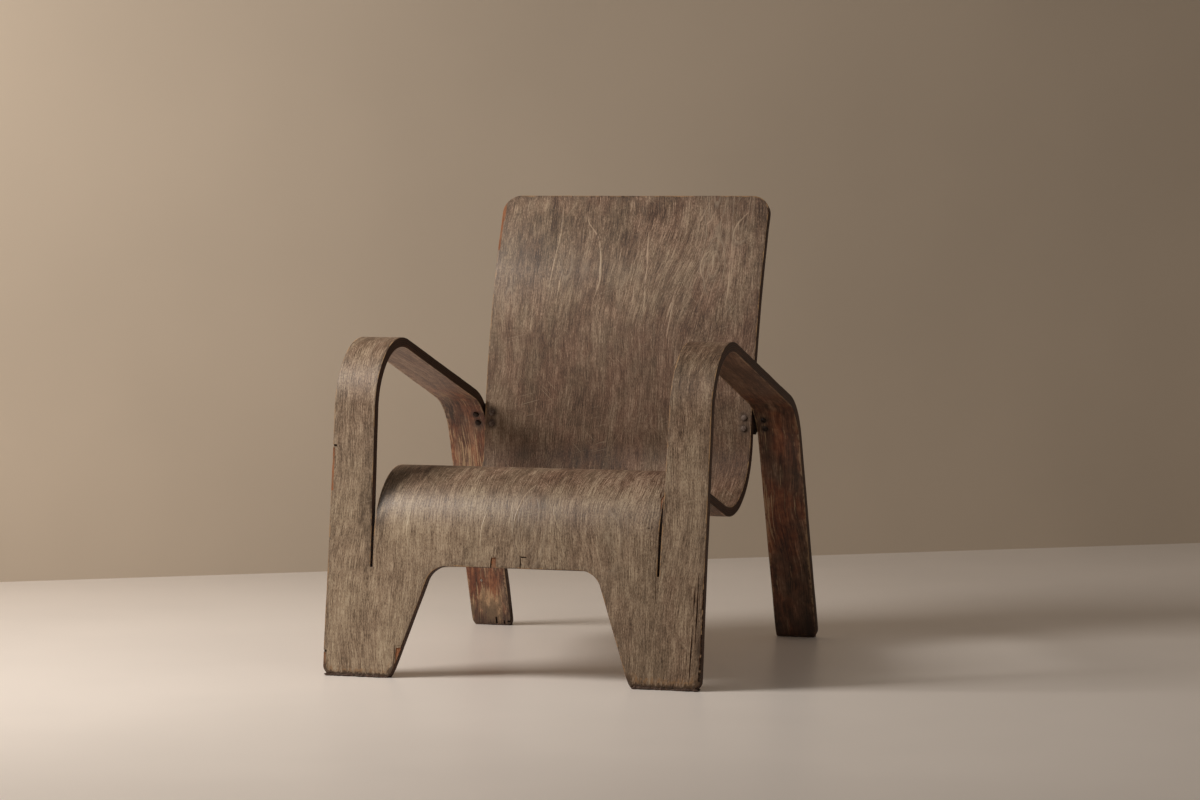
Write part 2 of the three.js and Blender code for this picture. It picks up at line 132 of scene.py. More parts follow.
class Course:
    """The line that one face of the sheet follows in side view: straights and bends, one after another."""

    def __init__(self, heading):
        self.pieces = []
        self.length = 0.0
        self.end = (0.0, 0.0, heading)

    def add(self, length, curvature):
        self.pieces.append((*self.end, self.length, length, curvature))
        self.length += length
        y, z, heading = self.at(np.array([self.length]))
        self.end = (y[0], z[0], heading[0])
        return self

    def straight(self, length):
        return self.add(length, 0.0)

    def bend(self, radius, heading):
        turn = heading - self.end[2]
        return self.add(radius * abs(turn), math.copysign(1 / radius, turn))

    def at(self, run):
        """Side-view place and heading at each distance along the course."""
        y, z, heading = np.zeros((3, len(run)))
        for y0, z0, h0, start, _, curvature in self.pieces:
            here = (run >= start) | (start == 0)
            along = run[here] - start
            turned = h0 + along * curvature
            heading[here] = turned
            if curvature == 0:
                y[here] = y0 + along * math.cos(h0)
                z[here] = z0 + along * math.sin(h0)
            else:
                y[here] = y0 + (np.sin(turned) - math.sin(h0)) / curvature
                z[here] = z0 - (np.cos(turned) - math.cos(h0)) / curvature
        return y, z, heading

    def locate(self, y, z):
        """How far along the course, how deep in the sheet, and how far off the sheet side-view places are."""
        found = np.full((3, len(y)), np.inf)
        for y0, z0, h0, start, length, curvature in self.pieces:
            if curvature == 0:
                along = (y - y0) * math.cos(h0) + (z - z0) * math.sin(h0)
            else:
                across = y - y0 + math.sin(h0) / curvature
                drop = z0 + math.cos(h0) / curvature - z
                turn = np.arctan2(across * curvature, drop * curvature) - h0
                along = (np.mod(turn + math.pi, 2 * math.pi) - math.pi) / curvature
            run = start + np.clip(along, 0, length)
            near_y, near_z, heading = self.at(run)
            ahead = (y - near_y) * np.cos(heading) + (z - near_z) * np.sin(heading)
            depth = (y - near_y) * np.sin(heading) - (z - near_z) * np.cos(heading)
            off = np.abs(ahead) + np.maximum(-depth, 0) + np.maximum(depth - SHEET, 0)
            better = off < found[2] - TINY
            found[:, better] = np.stack([run, depth, off])[:, better]
        return found


def top_heading(course, height):
    """Heading at which the back's long bend ends, so that the top edge comes out at a height."""
    _, z, heading = course.end
    reach = math.hypot(BACK_RADIUS, TOP_STRAIGHT)
    rise = height - z + BACK_RADIUS * math.cos(heading)
    return math.atan2(TOP_STRAIGHT, BACK_RADIUS) + math.acos(rise / reach)


def arm_straight(strap):
    """Length of arm that brings the strap's rear bend against the rear face of the back."""
    crossing_heading = ARM_HEADING + (REAR_LEG_HEADING - ARM_HEADING) * CROSSING_SHARE
    step = Course(ARM_HEADING).bend(REAR_BEND_RADIUS, crossing_heading)
    start_y, start_z = strap.end[0] + step.end[0], strap.end[1] + step.end[1]
    runs = np.linspace(SEAT_END, TOP_START, 4000)
    y, z, heading = TONGUE.at(runs)
    from_y = y + SHEET * np.sin(heading) - start_y
    from_z = z - SHEET * np.cos(heading) - start_z
    beside = math.cos(ARM_HEADING) * from_z - math.sin(ARM_HEADING) * from_y
    crossing = np.interp(0, beside, runs)
    ahead = math.cos(ARM_HEADING) * from_y + math.sin(ARM_HEADING) * from_z
    return crossing, np.interp(crossing, runs, ahead)


shell_low, shell_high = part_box("plywood_shell")

TONGUE = Course(FRONT_HEADING).straight(ROLL_START).bend(ROLL_RADIUS, SEAT_HEADING).straight(SEAT_STRAIGHT)
SEAT_END = TONGUE.length
TONGUE.bend(SEAT_BEND_RADIUS, BACK_LOW_HEADING)
BACK_START = TONGUE.length
TONGUE.bend(BACK_RADIUS, top_heading(TONGUE, shell_high.z - shell_low.z))
TOP_START = TONGUE.length
TONGUE.straight(TOP_STRAIGHT)

STRAP = Course(FRONT_HEADING).straight(LEG_STRAIGHT).bend(ARM_BEND_RADIUS, ARM_HEADING)
ARM_START = STRAP.length
CROSSING, arm_length = arm_straight(STRAP)
STRAP.straight(arm_length)
REAR_BEND_START = STRAP.length
STRAP.bend(REAR_BEND_RADIUS, REAR_LEG_HEADING)
STRAP.straight(STRAP.end[1] / -math.sin(REAR_LEG_HEADING))


# How far the light has bleached the show side along the sheet, and how much duller the sheet is made towards the
# right
TONGUE_BLEACH_RUNS = (0, ROLL_START, 300 * MM, 345 * MM, SEAT_END, BACK_START, 1080 * MM, 1200 * MM, TONGUE.length)
TONGUE_BLEACH = (1, 1, 0.9, 0.4, 0.2, 0, 0.3, 0.65, 0.35)
STRAP_BLEACH_RUNS = (0, 330 * MM, LEG_STRAIGHT, 520 * MM, 580 * MM, REAR_BEND_START, STRAP.length)
STRAP_BLEACH = (0.85, 0.9, 0.58, 0.6, 0.28, 0.25, 0.25)
RIGHTWARD_DULLING = 0.2
CALM_RUNS = (SEAT_END, BACK_START, 1000 * MM, 1200 * MM)
CALM = (1, 0.66, 0.72, 1.02)

# How high the crushed ends of the feet reach: the front feet from left to right, and then the rear ones
CRUSH_SIDES = (-0.2, 0.2, 1)
CRUSH_HEIGHTS = (7.5 * MM, 9.5 * MM, 13 * MM)

# How much of the old red polish is left on the sheltered side of the straps
POLISH_RUNS = (LEG_STRAIGHT, ARM_START, REAR_BEND_START - 90 * MM, REAR_BEND_START, STRAP.length)
POLISH_LEFT = (0.5, 0.15, 0.2, 1, 0.85)

# Soft hills on the flat sheet, each in millimetres: x, run, half width and half length, and then its height.
# Their contour lines are the rings of the peeled veneer's figure
FIGURES = (
    (154, 1217, 19, 40, 2.2),
    (-109, 1207, 14, 40, 0.8),
    (-81, 1189, 13, 36, 0.8),
    (-12, 1202, 13, 34, 0.8),
    (150, 1336, 19, 66, 2.5),
    (200, 1318, 16, 64, 2.4),
    (-215, 1150, 16, 34, 1.3),
    (22, 250, 24, 66, 1.9),
    (168, 236, 18, 48, 1.7),
    (-262, 545, 14, 36, 1.5),
)
# How much darker (below 0) or paler (above 0) a patch is painted. A few rows are weathered patches and stains; many
# are painted shade, where the straps and arms shadow the sheet, in the crease between seat and back and down the
# shaded right side; others are painted light on the lit left side and over places that a shadow darkens too much
WEAR_AND_PAINTED_SHADE = (
    (-240, 290, 22, 60, -0.6),
    (-157, 945, 26, 70, -0.2),
    (-60, 873, 70, 30, -0.22),
    (-205, 930, 60, 50, 0.06),
    (240, 90, 70, 90, -0.09),
    (280, 590, 60, 130, -0.14),
    (-40, 975, 24, 60, -0.16),
    (-160, 1009, 20, 60, -0.13),
    (-70, 999, 26, 70, -0.14),
    (208, 867, 26, 24, -0.24),
    (-185, 862, 26, 22, -0.16),
    (-135, 956, 18, 40, -0.1),
    (-165, 1260, 70, 80, -0.1),
    (26, 1310, 22, 13, -0.32),
    (-150, 1217, 24, 50, -0.2),
    (-130, 1300, 70, 30, -0.15),
    (60, 886, 100, 20, -0.12),
    (312, 80, 6, 90, -0.3),
    (-250, 190, 11, 110, -0.14),
    (276, 1450, 60, 50, -0.2),
    (273, 1348, 40, 50, -0.06),
    (-246, 1413, 7, 60, -0.22),
    (287, 807, 40, 90, -0.3),
    (297, 1018, 30, 60, -0.2),
    (312, 1152, 12, 60, -0.2),
    (-224, 160, 20, 60, 0.18),
    (-98, 225, 34, 50, 0.16),
    (-144, 219, 30, 40, 0.1),
    (110, 216, 30, 40, 0.12),
    (184, 95, 26, 60, 0.1),
    (208, 341, 40, 30, 0.36),
    (-190, 352, 60, 44, -0.2),
    (150, 312, 36, 22, 0.12),
    (-215, 925, 14, 40, 0.2),
    (180, 1240, 80, 110, 0.1),
    (222, 1217, 18, 70, 0.1),
    (137, 1190, 26, 80, 0.14),
    (-207, 1150, 12, 26, 0.24),
    (253, 107, 30, 50, 0.08),
    (-280, 1452, 22, 30, 0.45),
    (-290, 1398, 30, 30, -0.12),
    (-283, 1050, 40, 60, -0.12),
    (-283, 1152, 26, 60, 0.1),
    (286, 1270, 60, 260, -0.16),
    (268, 1221, 22, 50, 0.16),
)
# Lines along which the grain has risen into ridges
RIDGES = (
    ((-87, 1314), (-80, 1287), (-59, 1264), (-51, 1230), (-48, 1183), (-60, 1133)),
    ((-133, 1326), (-129, 1268), (-135, 1230), (-142, 1172)),
    ((-120, 1199), (-126, 1130)),
    ((15, 1172), (16, 1137)),
    ((31, 1276), (36, 1210), (37, 1114)),
    ((98, 1183), (86, 1140), (76, 1099)),
    ((-13, 1245), (-16, 1218)),
    ((137, 1331), (124, 1293)),
    ((212, 1316), (189, 1287), (186, 1262), (188, 1224)),
    ((151, 1320), (147, 1297), (134, 1287)),
    ((152, 1243), (136, 1230), (132, 1205), (144, 1178)),
    ((153, 1239), (157, 1210), (150, 1191)),
    ((112, 1200), (90, 1145), (82, 1078)),
    ((186, 1206), (188, 1178), (184, 1137)),
    ((22, 335), (6, 305), (-1, 269), (-5, 233)),
    ((-181, 276), (-184, 243), (-180, 211)),
    ((-50, 279), (-56, 243), (-58, 214)),
    ((60, 290), (63, 269), (78, 243)),
)
# How far the grain leans sideways as it climbs
LEANS = (
    (110, 1180, 75, 190, 0.33),
    (265, 150, 50, 110, 0.2),
    (120, 230, 60, 80, -0.22),
    (-140, 1280, 60, 80, -0.1),
)


def tongue_half(run):
    runs = (ROLL_START, SEAT_END, BACK_START, TONGUE.length)
    flares = (0, -SEAT_DRAW_IN, BACK_FLARE, TOP_FLARE)
    return TONGUE_HALF + np.interp(run, runs, flares)


def strap_inner(run):
    cut = TONGUE_HALF + SAW_CUT
    rear = tongue_half(CROSSING) + WEB_ROOM
    runs = (SAW_CUT_END, LEG_STRAIGHT, ARM_START, REAR_BEND_START)
    return np.interp(run, runs, (cut, cut + STRAP_FLARE, cut + STRAP_FLARE, rear))


def strap_outer(run):
    runs = (SAW_CUT_END, LEG_STRAIGHT, ARM_START, REAR_BEND_START)
    return strap_inner(run) + STRAP_WIDTH - np.interp(run, runs, (0, ARM_DRAW_IN, ARM_DRAW_IN, 0))


def on_strap(x, run):
    """Whether places on the flat sheet lie outside the saw cuts."""
    middle = (tongue_half(run) + strap_inner(run)) / 2
    return (run > SAW_CUT_END) & (np.abs(x) > middle)


def placed(x, run, depth):
    """Points of the moulded sheet, from their places on the flat sheet and their depth in it."""
    x, run, depth = np.broadcast_arrays(x, run, depth)
    y, z, heading = np.where(on_strap(x, run), STRAP.at(run), TONGUE.at(run))
    return np.stack([x, y + depth * np.sin(heading) + shell_low.y, z - depth * np.cos(heading)], axis=-1)


def unfolded(points):
    """Places on the flat sheet and depths in it of points of the moulded sheet."""
    x, y, z = points.T
    strap = STRAP.locate(y - shell_low.y, z)
    tongue = TONGUE.locate(y - shell_low.y, z)
    outside = np.abs(x) > (tongue_half(tongue[0]) + strap_inner(strap[0])) / 2
    run, depth, _ = np.where(outside & (strap[2] < tongue[2] + SHEET), strap, tongue)
    return x, run, depth


def rounded(corners):
    """The outline through corners (x, run, radius), with each one turned into an arc."""
    points = []
    for i, (x, run, radius) in enumerate(corners):
        corner = Vector((x, run))
        if radius == 0:
            points.append(corner)
            continue
        before = (Vector(corners[i - 1][:2]) - corner).normalized()
        after = (Vector(corners[(i + 1) % len(corners)][:2]) - corner).normalized()
        opening = before.angle(after)
        centre = corner + (before + after).normalized() * radius / math.sin(opening / 2)
        spoke = corner + before * radius / math.tan(opening / 2) - centre
        turn = (math.pi - opening) * math.copysign(1, before.x * after.y - before.y * after.x) * -1
        steps = max(4, math.ceil(radius * abs(turn) / FOOT_EDGE_STEP))
        for step in range(steps + 1):
            points.append(centre + Matrix.Rotation(turn * step / steps, 2) @ spoke)
    return points


def sheet_outline():
    """The whole flat sheet's outline, anticlockwise, as an array of (x, run)."""
    foot_half = strap_outer(0) - FRONT_FOOT_WIDTH
    half = [
        (foot_half - ARCH_SPLAY, ARCH_HEIGHT, ARCH_CORNER_RADIUS),
        (foot_half, 0, FOOT_INNER_RADIUS),
        (strap_outer(0), 0, FOOT_OUTER_RADIUS),
    ]
    strap_runs = (SAW_CUT_END, LEG_STRAIGHT, ARM_START, REAR_BEND_START)
    half += [(strap_outer(run), run, 0) for run in strap_runs]
    half += [
        (strap_outer(STRAP.length), STRAP.length, FOOT_OUTER_RADIUS),
        (strap_inner(STRAP.length), STRAP.length, FOOT_INNER_RADIUS),
    ]
    half += [(strap_inner(run), run, 0) for run in reversed(strap_runs[1:])]
    half += [
        (strap_inner(SAW_CUT_END), SAW_CUT_END, SAW_CORNER_RADIUS),
        (tongue_half(SAW_CUT_END), SAW_CUT_END, SAW_CORNER_RADIUS),
    ]
    half += [(tongue_half(run), run, 0) for run in (ROLL_START, SEAT_END, BACK_START)]
    half += [(tongue_half(TONGUE.length), TONGUE.length, BACK_CORNER_RADIUS)]
    other_half = [(-x, run, radius) for x, run, radius in reversed(half)]
    return spaced(rounded(half + other_half))


def from_foot(run):
    """How far places on the sheet are from the ends of the legs."""
    return np.minimum(run, STRAP.length - run)


def spaced(corners):
    """A closed outline with points at even steps, finer at the feet."""
    points = []
    for start, end in zip(corners, corners[1:] + corners[:1]):
        middle = (start + end) / 2
        step = FOOT_EDGE_STEP if from_foot(middle.y) < FOOT_ZONE else EDGE_STEP
        count = max(1, round((end - start).length / step))
        points += [start.lerp(end, i / count) for i in range(count)]
    return np.array([p for p, q in zip(points, points[1:] + points[:1]) if (q - p).length > TINY * 10])


def wobble(count, wavelength, seed):
    """A smooth closed random wave from -1 to 1, with one value for each of a loop's points."""
    knots = max(3, round(count / wavelength))
    values = np.random.default_rng(SEED + seed).uniform(-1, 1, knots)
    at = np.arange(count) * knots / count
    low = at.astype(int)
    part = at - low
    ease = part * part * (3 - 2 * part)
    return values[low % knots] * (1 - ease) + values[(low + 1) % knots] * ease


def inward(outline):
    """Unit normals of a closed anticlockwise outline, into the sheet."""
    tangent = np.roll(outline, -1, axis=0) - np.roll(outline, 1, axis=0)
    tangent /= np.linalg.norm(tangent, axis=1, keepdims=True)
    return np.stack([-tangent[:, 1], tangent[:, 0]], axis=1)


def inside(points, outline):
    """Which points lie inside a closed outline."""
    x, run = points[:, :1], points[:, 1:]
    x0, run0 = outline.T
    x1, run1 = np.roll(outline, -1, axis=0).T
    spans = (run0 > run) != (run1 > run)
    with np.errstate(divide="ignore", invalid="ignore"):
        crossing = x0 + (run - run0) * (x1 - x0) / (run1 - run0)
    return (spans & (x < crossing)).sum(axis=1) % 2 == 1


def rim_distance(points, outline):
    """How far places on the flat sheet are from its outline."""
    tree = kdtree.KDTree(len(outline))
    for i, (x, run) in enumerate(outline):
        tree.insert((x, run, 0), i)
    tree.balance()
    nearest = np.array([tree.find((x, run, 0))[1] for x, run in points])
    best = np.full(len(points), np.inf)
    for shift in (-1, 0):
        start = outline[(nearest + shift) % len(outline)]
        along = outline[(nearest + shift + 1) % len(outline)] - start
        share = ((points - start) * along).sum(axis=1) / (along**2).sum(axis=1)
        gap = points - start - along * np.clip(share, 0, 1)[:, None]
        best = np.minimum(best, np.linalg.norm(gap, axis=1))
    return best


def face_lattice(outline, edge_rows):
    """Places inside the flat sheet, closer together at the feet."""
    low, high = outline.min(axis=0), outline.max(axis=0)
    grids = []
    for step, zone in ((FACE_STEP, lambda run: from_foot(run) >= FOOT_ZONE),
                       (FOOT_FACE_STEP, lambda run: from_foot(run) < FOOT_ZONE)):
        xs = np.arange(low[0], high[0], step)
        runs = np.arange(low[1], high[1], step)
        grid = np.array(np.meshgrid(xs, runs)).reshape(2, -1).T
        grids.append(grid[zone(grid[:, 1])])
    grid = np.concatenate(grids)
    grid = grid[inside(grid, outline)]
    return grid[rim_distance(grid, outline) > edge_rows]


def skin(border):
    """Triangles over the flat sheet inside a border, and the places of their corners."""
    normals = inward(border)
    rows = np.concatenate([border + normals * step for step in (FIRST_ROW, SECOND_ROW)])
    rows = rows[inside(rows, border)]
    rows = rows[rim_distance(rows, border) > FIRST_ROW * 0.9]
    lattice = face_lattice(border, SECOND_ROW + FIRST_ROW)
    places = np.concatenate([border, rows, lattice])
    corners = [Vector(place) for place in places]
    _, _, faces, origins, _, _ = delaunay_2d_cdt(corners, [], [range(len(border))], 1, TINY / 10)
    return places, [tuple(origins[corner][0] for corner in face) for face in faces]


def edge_rings(count, near_foot):
    """Rings from the front face round the edge to the rear face: how far in, and how deep, each point is."""
    arrises = []
    for side in (0, 1):
        radius = ARRIS + wobble(count, 9, 3 + side) * ARRIS_SPREAD
        radius += near_foot * FOOT_ARRIS * (0.6 + 0.4 * wobble(count, 2, 5 + side))
        angles = [math.pi / 2 * step / ARRIS_STEPS for step in range(ARRIS_STEPS + 1)]
        arrises.append([(radius * (1 - math.sin(a)), radius * (1 - math.cos(a))) for a in angles])
    front, rear = arrises
    rear = [(inset, SHEET - depth) for inset, depth in reversed(rear)]
    wall = []
    for step in range(1, WALL_STEPS):
        share = step / WALL_STEPS
        depth = front[-1][1] * (1 - share) + rear[0][1] * share
        wall.append((wobble(count, 4, 6 + step) * EDGE_WOBBLE / 2, depth))
    return front + wall + rear


def worn_sheet():
    """The moulded sheet with eased arrises: its points, its faces and the finish of each face."""
    outline = sheet_outline()
    count = len(outline)
    near_foot = np.clip(1 - from_foot(outline[:, 1]) / FOOT_ZONE, 0, 1) ** 2
    worn = (wobble(count, 6, 1) + 1) * EDGE_WOBBLE / 2 + (wobble(count, 3, 2) + 1) * near_foot * FOOT_WOBBLE / 2
    outline += inward(outline) * worn[:, None]
    normals = inward(outline)
    rings = edge_rings(count, near_foot)

    points, polygons, finishes, starts = [], [], [], []
    for (inset, depth), finish in ((rings[0], FACE_VENEER), (rings[-1], INNER_VENEER)):
        places, faces = skin(outline + normals * inset[:, None])
        start = sum(map(len, points))
        points.append(placed(*places.T, depth[0]))
        ordered = faces if finish == FACE_VENEER else [face[::-1] for face in faces]
        polygons += [tuple(start + corner for corner in face) for face in ordered]
        finishes += [finish] * len(faces)
        starts.append(start)
    for inset, depth in rings[1:-1]:
        starts.insert(-1, sum(map(len, points)))
        points.append(placed(*(outline + normals * inset[:, None]).T, depth))

    for ring, (near, far) in enumerate(zip(starts, starts[1:])):
        finish = {0: FACE_VENEER, len(starts) - 2: INNER_VENEER}.get(ring, PLY_EDGE)
        for i in range(count):
            j = (i + 1) % count
            polygons.append((near + i, far + i, far + j, near + j))
            finishes.append(finish)
    points = np.concatenate(points)
    points[:, 2] = np.maximum(points[:, 2], 0)
    return points, polygons, finishes


def block(corners, top, bottom):
    """A closed block over a patch of the flat sheet, between two depths: its points and faces."""
    corners = np.array(corners)
    count = len(corners)
    points = np.concatenate([placed(*corners.T, depth) for depth in (top, bottom)])
    polygons = [tuple(range(count)), tuple(reversed(range(count, 2 * count)))]
    for i in range(count):
        j = (i + 1) % count
        polygons.append((i, i + count, j + count, j))
    return points, polygons


def torn(x_range, run_range, raggedness, depth, seed, rear=False):
    """A cut for a torn-off piece of veneer: a ragged patch, a few plies deep."""
    chance = np.random.default_rng(SEED + seed)
    corners = []
    sides = ((0, 0), (1, 0), (1, 1), (0, 1))
    for here, there in zip(sides, sides[1:] + sides[:1]):
        start = np.array([x_range[here[0]], run_range[here[1]]])
        end = np.array([x_range[there[0]], run_range[there[1]]])
        count = max(1, round(float(np.linalg.norm(end - start)) / TEAR_STEP))
        for i in range(count):
            corners.append(start + (end - start) * i / count + chance.uniform(-raggedness, raggedness, 2))
    return cut_from(corners, depth, rear)


def split(path, width, depth, rear=False):
    """A cut for a split in the veneer: a thin wedge along a path of (x, run)."""
    path = np.array(path)
    shares = np.linspace(0, 1, len(path))
    half = width / 2 * np.sin(np.pi * (SPLIT_BLUNTNESS + (1 - 2 * SPLIT_BLUNTNESS) * shares))
    offset = np.stack([half, np.zeros(len(path))], axis=1)
    return cut_from(np.concatenate([path - offset, (path + offset)[::-1]]), depth, rear)


def cut_from(corners, depth, rear):
    if rear:
        return block(corners, SHEET - depth, SHEET + CUT_OVERRUN)
    return block(corners, -CUT_OVERRUN, depth)


def bored(x, run, radius, depth):
    """A cut for a small round hole in the front of the sheet."""
    angles = np.arange(HOLE_SIDES) * 2 * math.pi / HOLE_SIDES
    return cut_from(np.stack([x + radius * np.cos(angles), run + radius * np.sin(angles)], axis=1), depth, False)


def frayed_ends():
    """Cuts for the splintered ends of the four feet, on both faces."""
    chance = np.random.default_rng(SEED)
    cuts = []
    front = (strap_outer(0) - FRONT_FOOT_WIDTH, strap_outer(0))
    rear = (strap_inner(STRAP.length), strap_outer(STRAP.length))
    for (inner, outer), end, way in ((front, 0, 1), (rear, STRAP.length, -1)):
        for side in (-1, 1):
            for on_rear in (False, True):
                for _ in range(FRAYS):
                    x = side * chance.uniform(inner + FOOT_INNER_RADIUS / 2, outer - FOOT_OUTER_RADIUS / 2)
                    width, height, depth = chance.uniform(*FRAY_SIZES)
                    tip = (x + chance.uniform(-width, width), end + way * height)
                    low = end - way * CUT_OVERRUN
                    corners = [(x - width / 2, low), (x + width / 2, low), tip]
                    cuts.append(cut_from(corners[::way], depth, on_rear))
    return cuts


def batches(cuts):
    """The cuts in lots, so that none in a lot touches another."""
    lots = []
    for cut in cuts:
        low, high = cut[0].min(axis=0) - FIRST_ROW / 2, cut[0].max(axis=0) + FIRST_ROW / 2
        for lot in lots:
            if all((low > other_high).any() or (high < other_low).any() for _, other_low, other_high in lot):
                lot.append((cut, low, high))
                break
        else:
            lots.append([(cut, low, high)])
    return [[cut for cut, _, _ in lot] for lot in lots]


def carve(piece, cuts):
    """Takes cuts out of a piece; what they lay bare gets the finish of bare plies."""
    for lot in batches(cuts):
        points, polygons = [], []
        for cut_points, cut_polygons in lot:
            start = len(points)
            points += [tuple(point) for point in cut_points]
            polygons += [tuple(start + corner for corner in polygon) for polygon in cut_polygons]
        finishes = [BARE_PLY] * len(polygons)
        cutter = new_piece("cutter", points, polygons, finishes, piece.data.materials)
        outward(cutter.data)
        cutting = piece.modifiers.new("wear", "BOOLEAN")
        cutting.operation = "DIFFERENCE"
        cutting.solver = "MANIFOLD"
        cutting.object = cutter
        settle(piece)
        bpy.data.objects.remove(cutter)


def settle(piece):
    """Applies a piece's modifiers."""
    graph = bpy.context.evaluated_depsgraph_get()
    mesh = bpy.data.meshes.new_from_object(piece.evaluated_get(graph))
    piece.modifiers.clear()
    piece.data = mesh


def outward(mesh):
    """Turns all faces of closed meshes outward."""
    shape = bmesh.new()
    shape.from_mesh(mesh)
    bmesh.ops.recalc_face_normals(shape, faces=shape.faces)
    shape.to_mesh(mesh)
    shape.free()


def new_piece(name, points, polygons, finishes, materials):
    mesh = bpy.data.meshes.new(name)
    mesh.from_pydata([tuple(point) for point in points], [], polygons)
    for material in materials:
        mesh.materials.append(material)
    mesh.polygons.foreach_set("material_index", finishes)
    piece = bpy.data.objects.new(name, mesh)
    bpy.context.scene.collection.objects.link(piece)
    return piece


def mark_places(piece, painted_highlight=0.0):
    """Stores where each point of the shell lies on the flat sheet, for its finishes to follow."""
    mesh = piece.data
    points = np.empty(len(mesh.vertices) * 3)
    mesh.vertices.foreach_get("co", points)
    x, run, depth = unfolded(points.reshape(-1, 3))
    store(mesh, "sheet", "FLOAT_VECTOR", "vector", np.stack([x, run, depth], axis=1))
    store(mesh, "grain", "FLOAT_VECTOR", "vector", np.stack([x - leaned(x, run), run, depth], axis=1))
    flat = np.stack([x, run], axis=1)
    store(mesh, "rim", "FLOAT", "value", rim_distance(flat, sheet_outline()))
    store(mesh, "bleach", "FLOAT", "value", bleached(x, run))
    store(mesh, "figure", "FLOAT", "value", sum(hill for hill, _ in hills(x, run, FIGURES)))
    # The shade attribute carries the patch table's painted shade and painted light, its weathered patches, and a
    # piece's painted highlight
    store(mesh, "shade", "FLOAT", "value", painted_highlight + sum(hill for hill, _ in hills(x, run, WEAR_AND_PAINTED_SHADE)))
    store(mesh, "crush", "FLOAT", "value", np.interp(np.where(run < SEAT_END, x, 1), CRUSH_SIDES, CRUSH_HEIGHTS))
    store(mesh, "contrast", "FLOAT", "value", np.interp(np.where(on_strap(x, run), 0, run), CALM_RUNS, CALM))
    store(mesh, "foot", "FLOAT", "value", from_foot(run))
    store(mesh, "polish", "FLOAT", "value", np.where(on_strap(x, run), np.interp(run, POLISH_RUNS, POLISH_LEFT), 0.5))
    fixings = np.array([[side * fixing[0], fixing[1]] for fixing in fixing_places() for side in (-1, 1)])
    nearest = np.min(np.linalg.norm(flat[:, None] - fixings[None], axis=2), axis=1)
    store(mesh, "fixing", "FLOAT", "value", nearest)


def store(mesh, name, kind, field, values):
    attribute = mesh.attributes.new(name, kind, "POINT")
    attribute.data.foreach_set(field, np.ascontiguousarray(values, dtype=np.float32).ravel())


def bleached(x, run):
    """How much the light has bleached each place: the front and the roll most, the back least."""
    tongue = np.interp(run, TONGUE_BLEACH_RUNS, TONGUE_BLEACH)
    strap = np.interp(run, STRAP_BLEACH_RUNS, STRAP_BLEACH)
    rightward_dulling = RIGHTWARD_DULLING * (1 + x / TONGUE_HALF)
    return np.where(on_strap(x, run), strap - rightward_dulling / 3, tongue - rightward_dulling)


def hills(x, run, table):
    """Each hill's height at places on the flat sheet, and how far along the sheet they are from its top."""
    for centre_x, centre_run, half_width, half_length, height in table:
        across = (x / MM - centre_x) / half_width
        past = run / MM - centre_run
        yield height * np.exp(-(across**2) - (past / half_length) ** 2), past * MM


def leaned(x, run):
    """How far sideways the leaning grain has shifted."""
    return sum(slope * past for slope, past in hills(x, run, LEANS))


def fixing_places():
    """Places on the flat sheet of the four bolts on the right."""
    places = []
    for part in ("back", "strap"):
        for level in ("upper", "lower"):
            low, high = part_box(f"bolt_{part}_{level}_right")
            centre = (np.array(low) + np.array(high)) / 2
            x, run, _ = unfolded(centre[None])
            places.append((x[0], run[0]))
    return places


def paint(code, alpha=1.0):
    """A linear colour from a six-digit hex code."""
    values = [int(code[i : i + 2], 16) / 255 for i in (0, 2, 4)]
    return (*((v / 12.92 if v <= 0.04045 else ((v + 0.055) / 1.055) ** 2.4) for v in values), alpha)


def node(tree, kind, inputs=(), **settings):
    """A new node with its settings; each input is given a value or the socket that feeds it."""
    made = tree.nodes.new(kind)
    for name, value in settings.items():
        setattr(made, name, value)
    for name, value in dict(inputs).items():
        socket = made.inputs[name]
        if isinstance(value, bpy.types.NodeSocket):
            tree.links.new(value, socket)
        else:
            socket.default_value = value
    return made


def maths(tree, operation, *values, clamp=False):
    made = node(tree, "ShaderNodeMath", dict(enumerate(values)), operation=operation, use_clamp=clamp)
    return made.outputs[0]


def ranged(tree, value, low, high, to_low=0.0, to_high=1.0):
    """A value eased from one range to another, and kept within it."""
    names = ("Value", "From Min", "From Max", "To Min", "To Max")
    inputs = dict(zip(names, (value, low, high, to_low, to_high)))
    made = node(tree, "ShaderNodeMapRange", inputs, interpolation_type="SMOOTHSTEP")
    return made.outputs["Result"]


def blend(tree, share, first, second, mode="MIX"):
    """A mix of two colours."""
    made = node(tree, "ShaderNodeMix", {"Factor": share}, data_type="RGBA", blend_type=mode)
    for slot, value in (("A_Color", first), ("B_Color", second)):
        socket = next(socket for socket in made.inputs if socket.identifier == slot)
        if isinstance(value, bpy.types.NodeSocket):
            tree.links.new(value, socket)
        else:
            socket.default_value = value
    return next(socket for socket in made.outputs if socket.identifier == "Result_Color")


def noise(tree, place, scale=1.0, detail=2.0, roughness=0.5):
    inputs = {"Vector": place, "Scale": scale, "Detail": detail, "Roughness": roughness}
    return node(tree, "ShaderNodeTexNoise", inputs).outputs["Fac"]


def stretched(tree, place, factors, shift=(0.0, 0.0, 0.0)):
    """A place multiplied axis by axis and shifted."""
    inputs = {0: place, 1: factors, 2: shift}
    return node(tree, "ShaderNodeVectorMath", inputs, operation="MULTIPLY_ADD").outputs["Vector"]


def new_group(name, inputs, outputs):
    """An empty shader group: its tree, the sockets that feed it and the sockets that it feeds."""
    tree = bpy.data.node_groups.new(name, "ShaderNodeTree")
    for socket_name, default in inputs.items():
        kind = "NodeSocketVector" if default is None else "NodeSocketFloat"
        socket = tree.interface.new_socket(socket_name, in_out="INPUT", socket_type=kind)
        if default is not None:
            socket.default_value = default
    for socket_name in outputs:
        tree.interface.new_socket(socket_name, in_out="OUTPUT", socket_type="NodeSocketFloat")
    given = node(tree, "NodeGroupInput").outputs
    results = node(tree, "NodeGroupOutput").inputs
    return tree, given, results


